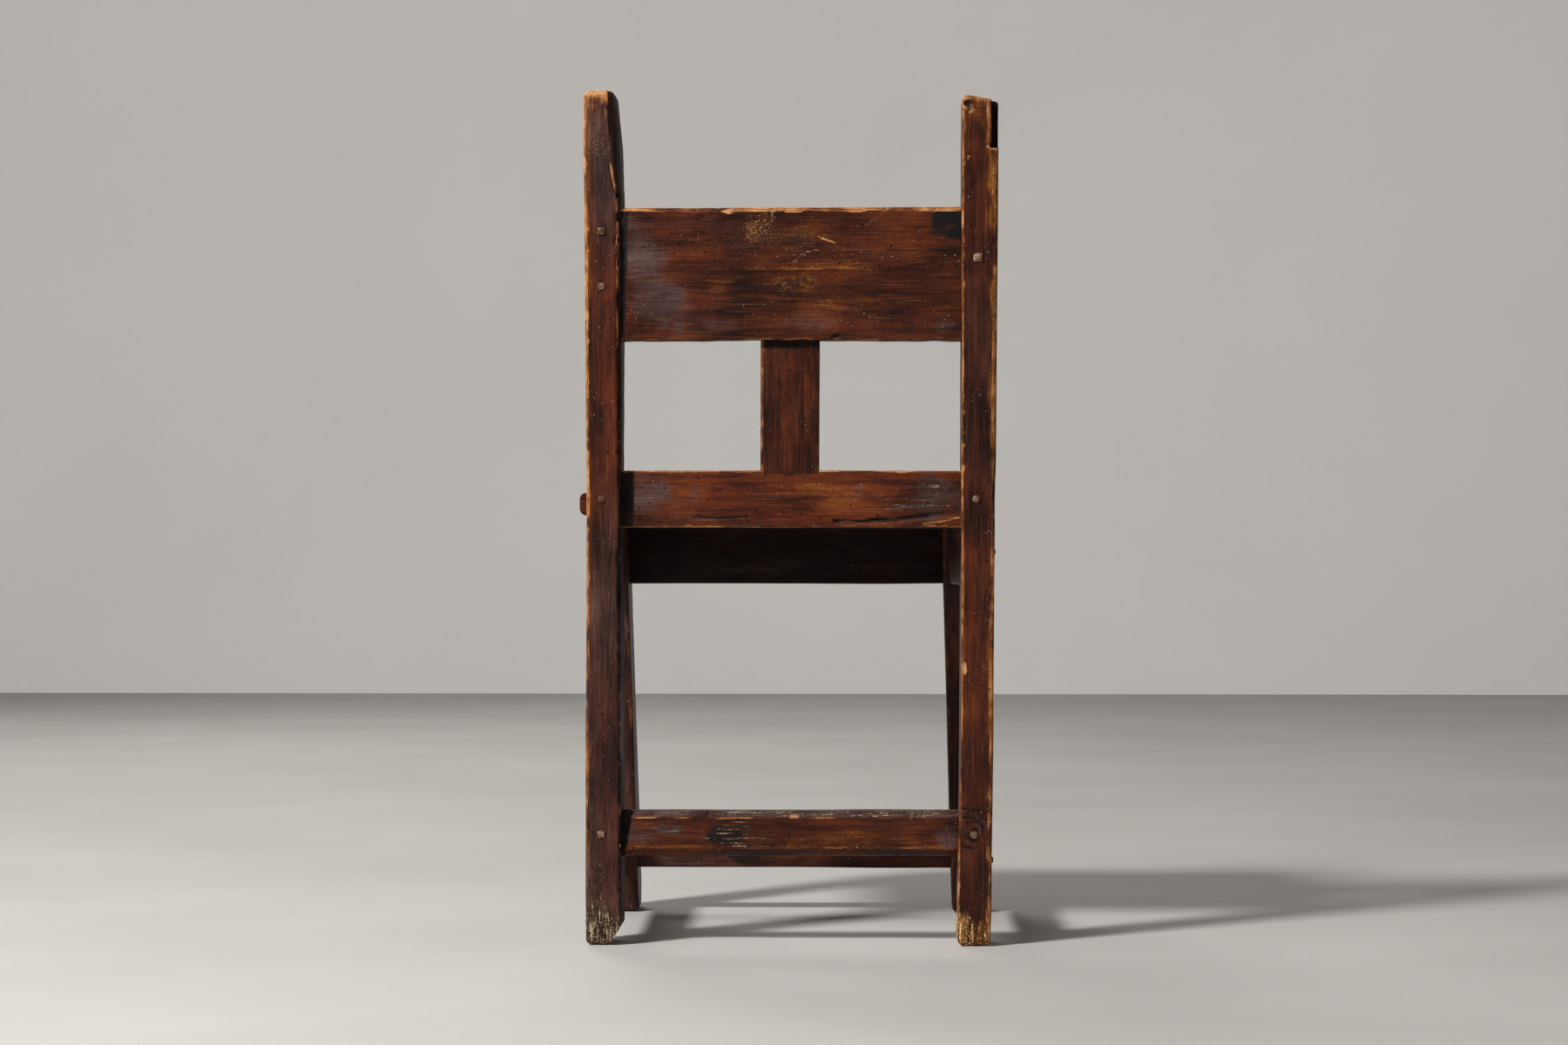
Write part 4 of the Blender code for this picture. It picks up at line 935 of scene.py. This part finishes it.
for number, node in enumerate(nails):
    low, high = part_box(node)
    sink = Stock(node + "_sink", (low.x - sink_gap, low.y - sink_gap, high.z - head_height - sink_gap),
                 (high.x + sink_gap, high.y + sink_gap, high.z + 0.004), 2, (8, 8, 4), 420 + number)
    sink.ease(hammered)
    cut_away(plank, sink)
    head = Stock(node + "_head", low, high, 2, (10, 10, 24), 400 + number)
    head.ease(hammered)
    below = high.z - head.points[:, 2]
    width = np.interp(below, (0.0, 0.0005, 0.0015, 0.0021, 0.030), (0.80, 1.0, 0.98, 0.42, 0.2))
    for axis in (0, 1):
        head.points[:, axis] = head.middle[axis] + (head.points[:, axis] - head.middle[axis]) * width
    on_head = head.unit[:, 2] > 0.99
    head.points[:, 2] -= on_head * 0.0002 * (1 + drift(head.points, 0.002, 410 + number))
    head.finish(nail_iron, "nail_iron", node)

# Studio: a pale plain floor and wall, a soft lamp high on the left behind the viewer's shoulder, and a broad
# weak one in front of the chair. The wall is far from both, so it adds a little of its own paleness for the
# eye and for reflections.
wall_y = 3.84
half_width = 7.0
half_reach = 4.42
for name, code_low, code_high, glow in (("studio_floor", "#b9b6b1", "#c2bfba", 0.0),
                                        ("studio_wall", "#cac8c4", "#d0cdc9", 0.25)):
    paint, tree, shader, place = start_material("pale_" + name)
    mottle = add_node(tree, "TexNoise", {"Vector": place, "Scale": 3.0, "Detail": 5.0})
    tint = add_node(tree, "ValToRGB", {"Fac": mottle}, stops=((0.3, code_low), (0.7, code_high)))
    tree.links.new(tint, shader.inputs["Base Color"])
    shader.inputs["Roughness"].default_value = 0.75
    shader.inputs["Specular IOR Level"].default_value = 0.2
    if glow:
        rays = add_node(tree, "LightPath", {}).node.outputs
        seen = rays["Is Camera Ray"]
        for ray in ("Is Glossy Ray", "Is Transmission Ray"):
            seen = add_node(tree, "Math", {0: seen, 1: rays[ray]}, operation="MAXIMUM")
        strength = add_node(tree, "Math", {0: seen, 1: glow}, operation="MULTIPLY")
        tree.links.new(strength, shader.inputs["Emission Strength"])
        shader.inputs["Emission Color"].default_value = linear(code_high)
    panel = bmesh.new()
    bmesh.ops.create_grid(panel, x_segments=1, y_segments=1, size=1.0)
    bmesh.ops.scale(panel, vec=(half_width, half_reach, 1.0), verts=panel.verts)
    middle = (0.0, wall_y - half_reach, 0.0)
    if name == "studio_wall":
        bmesh.ops.rotate(panel, cent=(0.0, 0.0, 0.0), verts=panel.verts,
                         matrix=Matrix.Rotation(math.radians(90), 3, "X"))
        middle = (0.0, wall_y, half_reach)
    bmesh.ops.translate(panel, vec=middle, verts=panel.verts)
    panel_mesh = bpy.data.meshes.new(name)
    panel.to_mesh(panel_mesh)
    panel.free()
    panel_mesh.materials.append(paint)
    put(name, panel_mesh)

lit_place = Vector((0.0, -0.08, 0.34))
for name, place, across, watts in (("soft_lamp", (-1.72, -1.72, 2.31), 0.45, 118.0),
                                   ("front_fill_lamp", (-1.1, 2.5, 2.2), 1.4, 34.0)):
    lamp_data = bpy.data.lights.new(name, "AREA")
    lamp_data.shape = "DISK"
    lamp_data.size = across
    lamp_data.energy = watts
    lamp = put(name, lamp_data)
    lamp.location = place
    lamp.rotation_euler = (lit_place - lamp.location).to_track_quat("-Z", "Y").to_euler()
world = bpy.data.worlds.new("studio_air")
world.use_nodes = True
air = world.node_tree.nodes["Background"].inputs
air["Color"].default_value = linear("#f1efec")
air["Strength"].default_value = 0.22
bpy.context.scene.world = world
bpy.context.scene.view_settings.view_transform = "Standard"

# Camera: level, at the height of the seat and about 2.7 m behind the chair, a little to the right of its
# middle, with the frame of the photograph.
camera_turn = math.radians(1.505)
camera_distance = 2.688
camera_height = 0.336
camera_data = bpy.data.cameras.new("camera")
camera_data.sensor_width = 36.0
camera_data.lens = 77.84
camera = put("camera", camera_data)
camera.location = (math.sin(camera_turn) * camera_distance,
                   rear_face - math.cos(camera_turn) * camera_distance, camera_height)
camera.rotation_euler = (math.radians(90), 0.0, camera_turn)
bpy.context.scene.camera = camera
